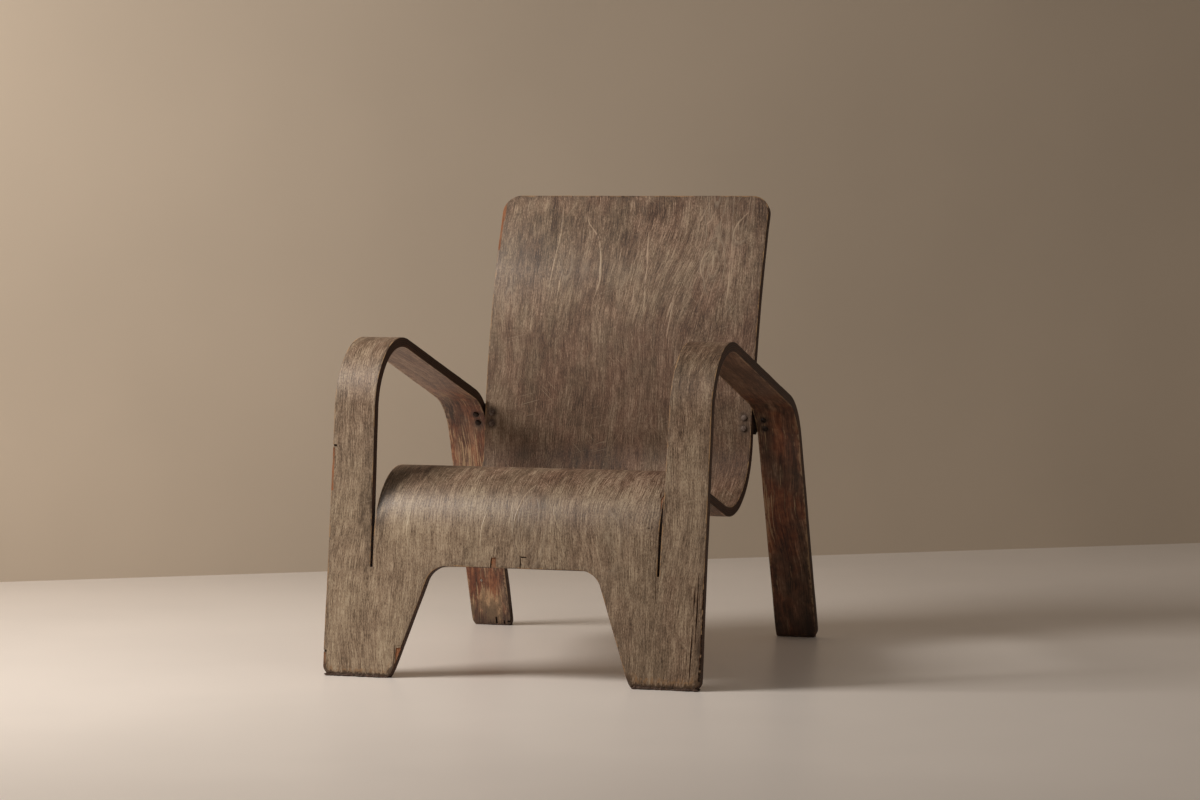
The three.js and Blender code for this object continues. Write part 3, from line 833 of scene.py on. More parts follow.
def grouped(tree, group, **inputs):
    """A group placed in a tree; its inputs are named with underscores for spaces."""
    made = tree.nodes.new("ShaderNodeGroup")
    made.node_tree = group
    for name, value in inputs.items():
        socket = made.inputs[name.replace("_", " ")]
        if isinstance(value, bpy.types.NodeSocket):
            tree.links.new(value, socket)
        else:
            socket.default_value = value
    return made.outputs


def weighed(tree, *terms):
    """A tone around one half: each value's swing about one half counts with its weight."""
    total = 0.5 - sum(weight for _, weight in terms) / 2
    for value, weight in terms:
        total = maths(tree, "MULTIPLY_ADD", value, weight, total)
    return total


def long_grain_group():
    """Grain that runs along the sheet: bands, streaks, fibres, specks, short dark pores and their relief."""
    tree, given, results = new_group(
        "Long Grain",
        {"Sheet": None, "Coarseness": 1.0, "Wander": 0.016, "Pore Amount": 0.5},
        ("Bands", "Streaks", "Fibres", "Specks", "Pores", "Relief"),
    )
    drift = noise(tree, stretched(tree, given["Sheet"], (3.1, 4.3, 40.0)), detail=1.0)
    swerve = noise(tree, stretched(tree, given["Sheet"], (30.0, 17.0, 40.0), (5.0, 0.0, 0.0)), detail=1.0)
    slide = maths(tree, "MULTIPLY", maths(tree, "SUBTRACT", drift, 0.5), given["Wander"])
    slide = maths(tree, "MULTIPLY", slide, 2.6)
    jog = maths(tree, "MULTIPLY", maths(tree, "SUBTRACT", swerve, 0.5), given["Wander"])
    slide = maths(tree, "MULTIPLY_ADD", jog, 0.45, slide)
    parts = node(tree, "ShaderNodeSeparateXYZ", {0: given["Sheet"]}).outputs
    across = maths(tree, "ADD", parts["X"], slide)
    warped = node(tree, "ShaderNodeCombineXYZ", {0: across, 1: parts["Y"], 2: parts["Z"]}).outputs[0]
    sizes = node(tree, "ShaderNodeCombineXYZ", {0: given["Coarseness"], 1: given["Coarseness"], 2: 1.0}).outputs[0]
    grain = node(tree, "ShaderNodeVectorMath", {0: warped, 1: sizes}, operation="DIVIDE").outputs[0]
    bands = noise(tree, stretched(tree, grain, (70.0, 7.0, 200.0), (3.0, 8.0, 0.0)), detail=3.0, roughness=0.6)
    streaks = noise(tree, stretched(tree, grain, (380.0, 12.0, 200.0)), detail=3.0, roughness=0.65)
    fibres = noise(tree, stretched(tree, grain, (900.0, 36.0, 200.0), (9.0, 2.0, 0.0)), detail=2.0, roughness=0.7)
    specks = noise(tree, stretched(tree, grain, (820.0, 230.0, 300.0), (4.0, 5.0, 0.0)), detail=2.0, roughness=0.7)
    pits = noise(tree, stretched(tree, grain, (1700.0, 230.0, 300.0), (2.0, 7.0, 3.0)), detail=1.0)
    floor = maths(tree, "SUBTRACT", 0.74, maths(tree, "MULTIPLY", given["Pore Amount"], 0.2))
    pores = ranged(tree, pits, floor, maths(tree, "ADD", floor, 0.09))
    relief = weighed(tree, (streaks, 0.5), (fibres, 0.6), (specks, 0.35))
    relief = maths(tree, "SUBTRACT", relief, maths(tree, "MULTIPLY", pores, 0.45))
    for name, value in (("Bands", bands), ("Streaks", streaks), ("Fibres", fibres), ("Specks", specks),
                        ("Pores", pores), ("Relief", relief)):
        tree.links.new(value, results[name])
    return tree


def rotary_figure_group():
    """The flame-like figure of peeled veneer: nested rings in thin lines, faint but for a few hills."""
    tree, given, results = new_group(
        "Rotary Figure",
        {"Sheet": None, "Hills": 0.0, "Rings": 9.0, "Width": 0.12, "Length": 0.34},
        ("Bands", "Lines"),
    )
    parts = node(tree, "ShaderNodeSeparateXYZ", {0: given["Sheet"]}).outputs
    across = maths(tree, "DIVIDE", parts["X"], given["Width"])
    along = maths(tree, "DIVIDE", parts["Y"], given["Length"])
    through = maths(tree, "MULTIPLY", parts["Z"], 150.0)
    place = node(tree, "ShaderNodeCombineXYZ", {0: across, 1: along, 2: through}).outputs[0]
    hills = noise(tree, place, detail=1.0, roughness=0.35)
    ragged = noise(tree, stretched(tree, given["Sheet"], (210.0, 45.0, 150.0)), detail=2.0)
    height = maths(tree, "MULTIPLY_ADD", maths(tree, "SUBTRACT", ragged, 0.5), 0.02, hills)
    height = maths(tree, "MULTIPLY_ADD", height, given["Rings"], given["Hills"])
    rings = maths(tree, "FRACT", height)
    lines = maths(tree, "MULTIPLY", ranged(tree, rings, 0.68, 0.92), ranged(tree, rings, 1.0, 0.95))
    clear = noise(tree, stretched(tree, place, (0.9, 0.9, 1.0), (7.0, 3.0, 0.0)), detail=1.0)
    shown = maths(tree, "MAXIMUM", ranged(tree, clear, 0.5, 0.66, 0, 0.16), ranged(tree, given["Hills"], 0.1, 0.6))
    broken = noise(tree, stretched(tree, given["Sheet"], (45.0, 22.0, 60.0), (1.0, 6.0, 0.0)), detail=2.0)
    shown = maths(tree, "MULTIPLY", shown, ranged(tree, broken, 0.32, 0.55, 0.15, 1))
    tree.links.new(maths(tree, "MULTIPLY", rings, shown), results["Bands"])
    tree.links.new(maths(tree, "MULTIPLY", lines, shown), results["Lines"])
    return tree


def weather_patches_group():
    """Broad soft patches, longer along the sheet than across it, and a mottle of small ones."""
    tree, given, results = new_group(
        "Weather Patches", {"Sheet": None, "Width": 0.08, "Length": 0.2, "Shift": 0.0}, ("Patches", "Mottle")
    )
    parts = node(tree, "ShaderNodeSeparateXYZ", {0: given["Sheet"]}).outputs
    across = maths(tree, "ADD", maths(tree, "DIVIDE", parts["X"], given["Width"]), given["Shift"])
    along = maths(tree, "DIVIDE", parts["Y"], given["Length"])
    through = maths(tree, "MULTIPLY", parts["Z"], 190.0)
    place = node(tree, "ShaderNodeCombineXYZ", {0: across, 1: along, 2: through}).outputs[0]
    tree.links.new(noise(tree, place, detail=3.0, roughness=0.6), results["Patches"])
    mottle = noise(tree, stretched(tree, place, (7.0, 8.0, 1.0), (3.0, 1.0, 0.0)), detail=3.0, roughness=0.65)
    tree.links.new(mottle, results["Mottle"])
    return tree


def shaded_patch_group():
    """The patches that are darker or paler than the rest, with an uneven edge: weathered patches, painted shade and
    painted light.
    """
    tree, given, results = new_group("Shaded Patch", {"Sheet": None, "Amount": 0.0}, ("Shade",))
    uneven = noise(tree, stretched(tree, given["Sheet"], (75.0, 16.0, 100.0)), detail=4.0, roughness=0.7)
    share = ranged(tree, uneven, 0.3, 0.7, 0.4, 1.6)
    tree.links.new(maths(tree, "MULTIPLY", given["Amount"], share), results["Shade"])
    return tree


def scuffs_group():
    """Sparse fine scratches that lie at several slants across the grain."""
    tree, given, results = new_group("Scuffs", {"Sheet": None, "Amount": 0.5}, ("Scuffs",))
    total = 0.0
    for slant, shift in ((0.5, 0.0), (-0.8, 13.0), (1.3, 29.0)):
        turned = node(
            tree, "ShaderNodeVectorRotate", {"Vector": given["Sheet"], "Angle": slant}, rotation_type="Z_AXIS"
        ).outputs[0]
        hair = noise(tree, stretched(tree, turned, (620.0, 16.0, 90.0), (shift, shift, 0.0)), detail=0.0)
        where = noise(tree, stretched(tree, turned, (17.0, 13.0, 90.0), (shift, 0.0, 0.0)), detail=1.0)
        mark = maths(tree, "MULTIPLY", ranged(tree, hair, 0.73, 0.8), ranged(tree, where, 0.5, 0.66))
        total = maths(tree, "MAXIMUM", mark, total)
    tree.links.new(maths(tree, "MULTIPLY", total, given["Amount"]), results["Scuffs"])
    return tree


def worn_rim_group():
    """Wear along the edges of the sheet, deeper in some places than in others."""
    tree, given, results = new_group(
        "Worn Rim", {"Sheet": None, "Rim": 0.0, "Reach": 0.003, "Shift": 0.0}, ("Wear", "Grime")
    )
    place = stretched(tree, given["Sheet"], (45.0, 45.0, 45.0))
    place = node(tree, "ShaderNodeVectorMath", {0: place, 1: given["Shift"]}, operation="ADD").outputs[0]
    patchy = noise(tree, place, detail=3.0, roughness=0.7)
    reach = maths(tree, "MULTIPLY", given["Reach"], ranged(tree, patchy, 0.35, 0.7, 0.15, 1.6))
    closeness = maths(tree, "DIVIDE", given["Rim"], reach)
    tree.links.new(ranged(tree, closeness, 1.0, 0.4), results["Wear"])
    broad = maths(tree, "DIVIDE", given["Rim"], maths(tree, "MULTIPLY", reach, 7.0))
    tree.links.new(ranged(tree, broad, 1.0, 0.0), results["Grime"])
    return tree


def ply_layers_group():
    """The edges of the plies: crossed layers with thin glue lines between them."""
    tree, given, results = new_group(
        "Ply Layers", {"Sheet": None, "Ply Thickness": 0.00178}, ("Crossed", "Glue", "Fibres")
    )
    parts = node(tree, "ShaderNodeSeparateXYZ", {0: given["Sheet"]}).outputs
    ripple = noise(tree, stretched(tree, given["Sheet"], (30.0, 30.0, 0.0)), detail=2.0)
    level = maths(tree, "DIVIDE", parts["Z"], given["Ply Thickness"])
    level = maths(tree, "MULTIPLY_ADD", ripple, 0.25, level)
    part = maths(tree, "PINGPONG", level, 1.0)
    tree.links.new(ranged(tree, part, 0.42, 0.58), results["Crossed"])
    glue = maths(tree, "ABSOLUTE", maths(tree, "SUBTRACT", part, 0.5))
    tree.links.new(ranged(tree, glue, 0.09, 0.02), results["Glue"])
    fibres = noise(tree, stretched(tree, given["Sheet"], (420.0, 420.0, 900.0)), detail=2.0, roughness=0.7)
    tree.links.new(fibres, results["Fibres"])
    return tree


def crushed_foot_group():
    """The crushed, dark end of a foot, and the line above it that rubbing has laid bare."""
    tree, given, results = new_group(
        "Crushed Foot", {"Sheet": None, "Rim": 1.0, "Foot": 1.0, "Height": 0.008}, ("Crushed", "Rubbed")
    )
    ragged = noise(tree, stretched(tree, given["Sheet"], (190.0, 70.0, 200.0)), detail=4.0, roughness=0.75)
    reach = maths(tree, "MULTIPLY", given["Height"], ranged(tree, ragged, 0.3, 0.7, 0.5, 1.5))
    share = maths(tree, "DIVIDE", given["Rim"], reach)
    near = ranged(tree, given["Foot"], 0.03, 0.016)
    crushed = maths(tree, "MULTIPLY", ranged(tree, share, 1.05, 0.8), near)
    rubbed = maths(tree, "MULTIPLY", ranged(tree, share, 1.7, 1.25), near)
    tree.links.new(crushed, results["Crushed"])
    tree.links.new(maths(tree, "MULTIPLY", rubbed, ranged(tree, ragged, 0.4, 0.55)), results["Rubbed"])
    return tree


def floor_darkening_group():
    """Darkening that reaches up from the floor to a ragged height."""
    tree, given, results = new_group("Floor Darkening", {"Place": None, "Height": 0.05}, ("Grime",))
    parts = node(tree, "ShaderNodeSeparateXYZ", {0: given["Place"]}).outputs
    ragged = noise(tree, stretched(tree, given["Place"], (90.0, 90.0, 22.0)), detail=4.0, roughness=0.7)
    reach = maths(tree, "MULTIPLY", given["Height"], ranged(tree, ragged, 0.3, 0.7, 0.2, 1.6))
    tree.links.new(ranged(tree, maths(tree, "DIVIDE", parts["Z"], reach), 1.0, 0.1), results["Grime"])
    return tree


def new_material(name):
    """A material with a plain shader: its tree and the shader."""
    material = bpy.data.materials.new(name)
    material.use_nodes = True
    tree = material.node_tree
    return material, tree, next(n for n in tree.nodes if n.type == "BSDF_PRINCIPLED")


def read(tree, name, vector=False):
    """A value stored in the mesh."""
    made = node(tree, "ShaderNodeAttribute", attribute_name=name)
    return made.outputs["Vector" if vector else "Fac"]


def relief_into(tree, shader, height, distance, strength=1.0):
    bump = node(tree, "ShaderNodeBump", {"Height": height, "Distance": distance, "Strength": strength})
    tree.links.new(bump.outputs["Normal"], shader.inputs["Normal"])


def toned(tree, tone, dark, middle, pale):
    """A colour that runs from dark through middle to pale as a tone goes from 0 to 1."""
    lower = node(tree, "ShaderNodeMapRange", {"Value": tone, "From Min": 0.0, "From Max": 0.5}).outputs["Result"]
    upper = node(tree, "ShaderNodeMapRange", {"Value": tone, "From Min": 0.5, "From Max": 1.0}).outputs["Result"]
    return blend(tree, upper, blend(tree, lower, dark, middle), pale)


def face_veneer_material():
    """The show side of the sheet: grey-beige where the light has bleached it, browner and redder inside."""
    material, tree, shader = new_material("weathered_veneer")
    sheet, rim = read(tree, "sheet", True), read(tree, "rim")
    grain = grouped(tree, LONG_GRAIN, Sheet=read(tree, "grain", True))
    shade = grouped(tree, SHADED_PATCH, Sheet=sheet, Amount=read(tree, "shade"))["Shade"]
    figure = grouped(tree, ROTARY_FIGURE, Sheet=sheet, Hills=read(tree, "figure"))
    patches = grouped(tree, WEATHER_PATCHES, Sheet=sheet, Width=0.085, Length=0.15)
    red = grouped(tree, WEATHER_PATCHES, Sheet=sheet, Width=0.05, Length=0.11, Shift=17.0)
    wear = grouped(tree, WORN_RIM, Sheet=sheet, Rim=rim, Reach=0.0022)
    foot = grouped(tree, CRUSHED_FOOT, Sheet=sheet, Rim=rim, Foot=read(tree, "foot"), Height=read(tree, "crush"))
    scuffs = grouped(tree, SCUFFS, Sheet=sheet, Amount=0.8)["Scuffs"]
    place = node(tree, "ShaderNodeTexCoord").outputs["Object"]
    floor_darkening = grouped(tree, FLOOR_DARKENING, Place=place, Height=0.012)["Grime"]

    bleach = maths(tree, "MULTIPLY_ADD", maths(tree, "SUBTRACT", patches["Patches"], 0.5), 0.5, read(tree, "bleach"))
    bleach = maths(tree, "MULTIPLY_ADD", maths(tree, "SUBTRACT", red["Mottle"], 0.5), 0.15, bleach, clamp=True)
    tone = weighed(tree, (grain["Bands"], 0.85), (grain["Streaks"], 0.9), (grain["Fibres"], 2.0),
                   (grain["Specks"], 1.4), (patches["Mottle"], 0.7), (patches["Patches"], 0.6))
    # The shade adds the patch table's painted shade and painted light, with its weathered patches, to the tone
    tone = maths(tree, "ADD", tone, shade)
    tone = maths(tree, "MULTIPLY_ADD", maths(tree, "SUBTRACT", tone, 0.5), read(tree, "contrast"), 0.5)
    colour = blend(tree, bleach, toned(tree, tone, *DULL_TONES), toned(tree, tone, *BLEACHED_TONES))
    redness = weighed(tree, (red["Patches"], 0.9), (grain["Bands"], -0.3))
    reddish = maths(tree, "MULTIPLY", ranged(tree, redness, 0.34, 0.66), ranged(tree, bleach, 0, 1, 0.62, 0.2))
    colour = blend(tree, reddish, colour, toned(tree, tone, *RED_TONES))
    colour = blend(tree, maths(tree, "MULTIPLY", figure["Bands"], 0.4), colour, STREAK_DARK)
    colour = blend(tree, maths(tree, "MULTIPLY", figure["Lines"], 0.36), colour, STREAK_PALE)
    colour = blend(tree, maths(tree, "MULTIPLY", grain["Pores"], 0.6), colour, PORE_DARK)
    colour = blend(tree, maths(tree, "MULTIPLY", scuffs, 0.4), colour, SCUFF_PALE)
    colour = blend(tree, maths(tree, "MULTIPLY", wear["Grime"], 0.22), colour, GRIME)
    colour = blend(tree, maths(tree, "MULTIPLY", wear["Wear"], 0.75), colour, WORN_TAN)
    stain = ranged(tree, read(tree, "fixing"), 0.015, 0.004)
    colour = blend(tree, maths(tree, "MULTIPLY", stain, 0.6), colour, IRON_STAIN)
    colour = blend(tree, maths(tree, "MULTIPLY", floor_darkening, 0.6), colour, GRIME)
    colour = blend(tree, maths(tree, "MULTIPLY", foot["Rubbed"], 0.6), colour, RUBBED_TAN)
    colour = blend(tree, maths(tree, "MULTIPLY", foot["Crushed"], 0.7), colour, GRIME)
    tree.links.new(colour, shader.inputs["Base Color"])

    roughness = weighed(tree, (grain["Fibres"], 0.35), (patches["Mottle"], 0.3))
    roughness = maths(tree, "ADD", roughness, ranged(tree, read(tree, "bleach"), 0.3, 0.9, 0.08, -0.13))
    roughness = maths(tree, "MAXIMUM", roughness, maths(tree, "MULTIPLY", foot["Crushed"], 0.9))
    tree.links.new(roughness, shader.inputs["Roughness"])
    shader.inputs["Specular IOR Level"].default_value = 0.2
    shader.inputs["Coat Roughness"].default_value = 0.48
    sheen = ranged(tree, read(tree, "bleach"), 0.3, 0.9, 0, 0.55)
    tree.links.new(sheen, shader.inputs["Coat Weight"])
    height = maths(tree, "MULTIPLY_ADD", figure["Lines"], 0.5, grain["Relief"])
    height = maths(tree, "SUBTRACT", height, maths(tree, "MULTIPLY", scuffs, 0.2))
    relief_into(tree, shader, height, 0.00045)
    return material


def inner_veneer_material():
    """The sheltered side of the sheet: red-brown old polish, rubbed through to pale streaks."""
    material, tree, shader = new_material("sheltered_veneer")
    sheet, rim = read(tree, "sheet", True), read(tree, "rim")
    grain = grouped(tree, LONG_GRAIN, Sheet=read(tree, "grain", True), Coarseness=1.15, Pore_Amount=0.6)
    shade = grouped(tree, SHADED_PATCH, Sheet=sheet, Amount=read(tree, "shade"))["Shade"]
    patches = grouped(tree, WEATHER_PATCHES, Sheet=sheet, Width=0.07, Length=0.12)
    bare = grouped(tree, WEATHER_PATCHES, Sheet=sheet, Width=0.05, Length=0.2, Shift=31.0)
    wear = grouped(tree, WORN_RIM, Sheet=sheet, Rim=rim, Reach=0.0045, Shift=7.0)
    place = node(tree, "ShaderNodeTexCoord").outputs["Object"]
    floor_darkening = grouped(tree, FLOOR_DARKENING, Place=place, Height=0.085)["Grime"]

    polish = read(tree, "polish")
    tone = weighed(tree, (grain["Bands"], 1.5), (grain["Streaks"], 1.3), (grain["Fibres"], 1.5),
                   (patches["Mottle"], 1.0))
    # The shade adds the patch table's painted shade and painted light, with its weathered patches, to the tone
    tone = maths(tree, "ADD", tone, shade)
    red = toned(tree, tone, *POLISHED_TONES)
    colour = blend(tree, ranged(tree, patches["Patches"], 0.4, 0.66, 0, 0.85), red, toned(tree, tone, *DULL_TONES))
    thin = maths(tree, "MAXIMUM", ranged(tree, polish, 0.1, 0.9, 0.85, 0), ranged(tree, bare["Patches"], 0.5, 0.62, 0, 0.4))
    colour = blend(tree, thin, colour, toned(tree, tone, *SHELTERED_TONES))
    rubbed = weighed(tree, (grain["Streaks"], -2.2), (grain["Bands"], -0.4), (bare["Patches"], 0.9))
    # The painted shade also thins the rubbed streaks, and the painted light adds to them
    rubbed = maths(tree, "MULTIPLY_ADD", shade, 1.6, rubbed)
    rubbed = maths(tree, "MULTIPLY", ranged(tree, rubbed, 0.59, 0.68), ranged(tree, polish, 0.3, 0.9))
    colour = blend(tree, maths(tree, "MULTIPLY", rubbed, 0.76), colour, RUBBED_PALE)
    colour = blend(tree, maths(tree, "MULTIPLY", grain["Pores"], 0.6), colour, PORE_DARK)
    colour = blend(tree, maths(tree, "MULTIPLY", wear["Wear"], 0.5), colour, RUBBED_PALE)
    stain = ranged(tree, read(tree, "fixing"), 0.015, 0.004)
    colour = blend(tree, maths(tree, "MULTIPLY", stain, 0.6), colour, IRON_STAIN)
    colour = blend(tree, maths(tree, "MULTIPLY", floor_darkening, 0.68), colour, GRIME)
    tree.links.new(colour, shader.inputs["Base Color"])
    tree.links.new(maths(tree, "MULTIPLY_ADD", rubbed, 0.2, 0.5), shader.inputs["Roughness"])
    relief_into(tree, shader, grain["Relief"], 0.0005)
    return material


def ply_edge_material():
    """The sawn edges, dark with age and handling, with the plies just showing."""
    material, tree, shader = new_material("ply_edge")
    sheet = read(tree, "sheet", True)
    plies = grouped(tree, PLY_LAYERS, Sheet=sheet)
    patches = grouped(tree, WEATHER_PATCHES, Sheet=sheet, Width=0.05, Length=0.09)
    colour = blend(tree, plies["Crossed"], EDGE_BROWN, EDGE_DARK)
    colour = blend(tree, maths(tree, "MULTIPLY", plies["Glue"], 0.8), colour, GLUE_DARK)
    colour = blend(tree, ranged(tree, patches["Patches"], 0.5, 0.72, 0, 0.5), colour, EDGE_WARM)
    colour = blend(tree, ranged(tree, plies["Fibres"], 0.45, 0.75, 0, 0.6), colour, GLUE_DARK)
    tree.links.new(colour, shader.inputs["Base Color"])
    shader.inputs["Roughness"].default_value = 0.72
    height = maths(tree, "MULTIPLY_ADD", plies["Glue"], -0.8, plies["Fibres"])
    relief_into(tree, shader, height, 0.0006)
    return material


def bare_ply_material():
    """Raw wood where the face veneer has broken away."""
    material, tree, shader = new_material("bare_ply")
    sheet = read(tree, "sheet", True)
    grain = grouped(tree, LONG_GRAIN, Sheet=sheet, Coarseness=0.6)
    patches = grouped(tree, WEATHER_PATCHES, Sheet=sheet, Width=0.02, Length=0.03, Shift=5.0)
    place = node(tree, "ShaderNodeTexCoord").outputs["Object"]
    floor_darkening = grouped(tree, FLOOR_DARKENING, Place=place, Height=0.03)["Grime"]
    colour = blend(tree, ranged(tree, patches["Patches"], 0.42, 0.7), BARE_ORANGE, BARE_TAN)
    colour = blend(tree, ranged(tree, grain["Streaks"], 0.45, 0.7, 0, 0.7), colour, POLISH_DARK)
    # Deeper than the face ply the bare wood turns dark: painted shade in the cracks, with the dirt lodged in them
    depth = node(tree, "ShaderNodeSeparateXYZ", {0: sheet}).outputs["Z"]
    depth = maths(tree, "MINIMUM", depth, maths(tree, "SUBTRACT", SHEET, depth))
    colour = blend(tree, ranged(tree, depth, 0.0014, 0.0022, 0, 0.92), colour, GLUE_DARK)
    colour = blend(tree, maths(tree, "MULTIPLY", floor_darkening, 0.9), colour, GRIME)
    colour = blend(tree, ranged(tree, grain["Specks"], 0.54, 0.66, 0, 0.6), colour, BARE_TAN)
    tree.links.new(colour, shader.inputs["Base Color"])
    shader.inputs["Roughness"].default_value = 0.85
    relief_into(tree, shader, grain["Relief"], 0.0008)
    return material


def steel_material(name, clean, tarnish, metallic, roughness):
    """Old steel: a metal finish that tarnish has dulled in patches."""
    material, tree, shader = new_material(name)
    place = node(tree, "ShaderNodeTexCoord").outputs["Object"]
    blotches = noise(tree, stretched(tree, place, (260.0, 260.0, 260.0)), detail=4.0, roughness=0.7)
    pits = noise(tree, stretched(tree, place, (1900.0, 1900.0, 1900.0)), detail=2.0)
    rust = ranged(tree, blotches, 0.42, 0.62)
    tree.links.new(blend(tree, rust, clean, tarnish), shader.inputs["Base Color"])
    tree.links.new(ranged(tree, rust, 0, 1, metallic, metallic * 0.3), shader.inputs["Metallic"])
    tree.links.new(ranged(tree, rust, 0, 1, roughness, 0.85), shader.inputs["Roughness"])
    relief_into(tree, shader, maths(tree, "ADD", blotches, maths(tree, "MULTIPLY", pits, 0.5)), 0.0003)
    return material


def fixing_frame(node_name):
    """A turned fixing's distinct points, their middle and their main axes."""
    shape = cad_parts[node_name].data
    points = np.array([vertex.co for vertex in shape.vertices])
    points = np.unique(points.round(7), axis=0)
    middle = points.mean(axis=0)
    axes = np.linalg.svd(points - middle)[2]
    return points, middle, axes


def apron_wear():
    """Two chips in the lower edge of the apron, and a worn spot beside the right saw cut."""
    return [
        torn((-37.5 * MM, -29.5 * MM), (175 * MM, 199.5 * MM), 0.5 * MM, 1.3 * MM, 21),
        split([(-38.6 * MM, 175 * MM), (-38 * MM, 188 * MM), (-37.6 * MM, 201 * MM)], 2.2 * MM, 3 * MM),
        split([(11.8 * MM, 175 * MM), (11.8 * MM, 190 * MM), (12.4 * MM, 204 * MM)], 2.2 * MM, 3 * MM),
        torn((11.8 * MM, 21.5 * MM), (200.6 * MM, 202.6 * MM), 0.2 * MM, 2.4 * MM, 22),
        split([(239 * MM, 322 * MM), (236.5 * MM, 304 * MM), (238.4 * MM, 284 * MM)], 3.6 * MM, 0.8 * MM),
        split([(232.6 * MM, 322 * MM), (232 * MM, 316 * MM), (232.6 * MM, 309 * MM)], 2.2 * MM, 1.6 * MM),
        bored(223 * MM, 254 * MM, 1.1 * MM, 3 * MM),
    ]


def left_leg_wear():
    """Notches in the outer edge of the left leg, and chips at both corners of its foot."""
    past = -strap_outer(0) - CUT_OVERRUN
    return [
        torn((past, -311.5 * MM), (371.5 * MM, 375 * MM), 0.5 * MM, 4 * MM, 31),
        torn((past, -314.6 * MM), (300 * MM, 370 * MM), 0.4 * MM, 0.8 * MM, 32),
        torn((past, -315 * MM), (219 * MM, 223 * MM), 0.4 * MM, 3 * MM, 33),
        torn((past, -313.6 * MM), (9 * MM, 37 * MM), 0.6 * MM, 1.2 * MM, 34),
        torn((past, -312.6 * MM), (38 * MM, 41 * MM), 0.4 * MM, 3 * MM, 35),
        torn((-193.4 * MM, -180 * MM), (20 * MM, 49 * MM), 0.3 * MM, 1.2 * MM, 36),
        split([(-195.6 * MM, 14 * MM), (-195.6 * MM, 34 * MM), (-195.4 * MM, 54 * MM)], 1.8 * MM, 3 * MM),
        split([(-197 * MM, 50.4 * MM), (-190 * MM, 52.4 * MM), (-181 * MM, 55 * MM)], 1.8 * MM, 3 * MM),
    ]


def right_leg_wear():
    """Long splits beside the outer edge of the right leg, and an edge that has come away in pieces."""
    past = strap_outer(0) + CUT_OVERRUN
    cuts = [
        split([(303.4 * MM, 166 * MM), (302.6 * MM, 142 * MM), (302 * MM, 117 * MM)], 2 * MM, 4 * MM),
        split([(302 * MM, 104 * MM), (300.6 * MM, 62 * MM), (299 * MM, 10 * MM)], 2.6 * MM, 4 * MM),
        split([(308.4 * MM, 186 * MM), (308 * MM, 120 * MM), (306.6 * MM, 74 * MM)], 2.4 * MM, 4 * MM),
        split([(295 * MM, 88 * MM), (294 * MM, 60 * MM), (293.4 * MM, 36 * MM)], 1 * MM, 3 * MM),
        split([(238 * MM, 176 * MM), (239 * MM, 150 * MM), (238 * MM, 128 * MM)], 1.2 * MM, 3 * MM),
    ]
    pieces = ((168, 184, 1.4), (128, 160, 2.2), (96, 121, 1.6), (58, 90, 2.8), (34, 54, 3.6), (16, 31, 4.6))
    for number, (low, high, width) in enumerate(pieces):
        outer = (strap_outer(0) - width * MM, past)
        cuts.append(torn(outer, (low * MM, high * MM), 0.7 * MM, 2.4 * MM, 41 + number))
    return cuts


def back_wear():
    """Short cracks down from the top edge of the back, one below it, and veneer torn off its left edge."""
    top = TONGUE.length
    past = -tongue_half(top) - EDGE_WOBBLE
    return [
        split([(-68.6 * MM, top + 1 * MM), (-68 * MM, top - 9 * MM), (-67 * MM, top - 18 * MM)], 1.8 * MM, 3 * MM),
        bored(-118 * MM, top - 1 * MM, 1.4 * MM, 4 * MM),
        split([(95 * MM, 1281 * MM), (92 * MM, 1264 * MM), (90 * MM, 1247 * MM)], 1.2 * MM, 2.4 * MM),
        bored(227.5 * MM, 972.3 * MM, 1.1 * MM, 4 * MM),
        torn((past, -241.4 * MM), (1238 * MM, 1296 * MM), 0.3 * MM, 1 * MM, 51),
        torn((past, -239.4 * MM), (1295 * MM, 1337 * MM), 0.3 * MM, 1 * MM, 52),
    ]


def rear_foot_wear():
    """Notches in the ends of the rear legs, on their sheltered side."""
    end = STRAP.length
    return [
        torn((-277 * MM, -274 * MM), (end - 22 * MM, end + 1 * MM), 0.4 * MM, 6 * MM, 61, rear=True),
        torn((-262 * MM, -259.6 * MM), (end - 16 * MM, end + 1 * MM), 0.4 * MM, 5 * MM, 62, rear=True),
        torn((-255 * MM, -247 * MM), (end - 12 * MM, end + 1 * MM), 0.8 * MM, 3 * MM, 63, rear=True),
    ]


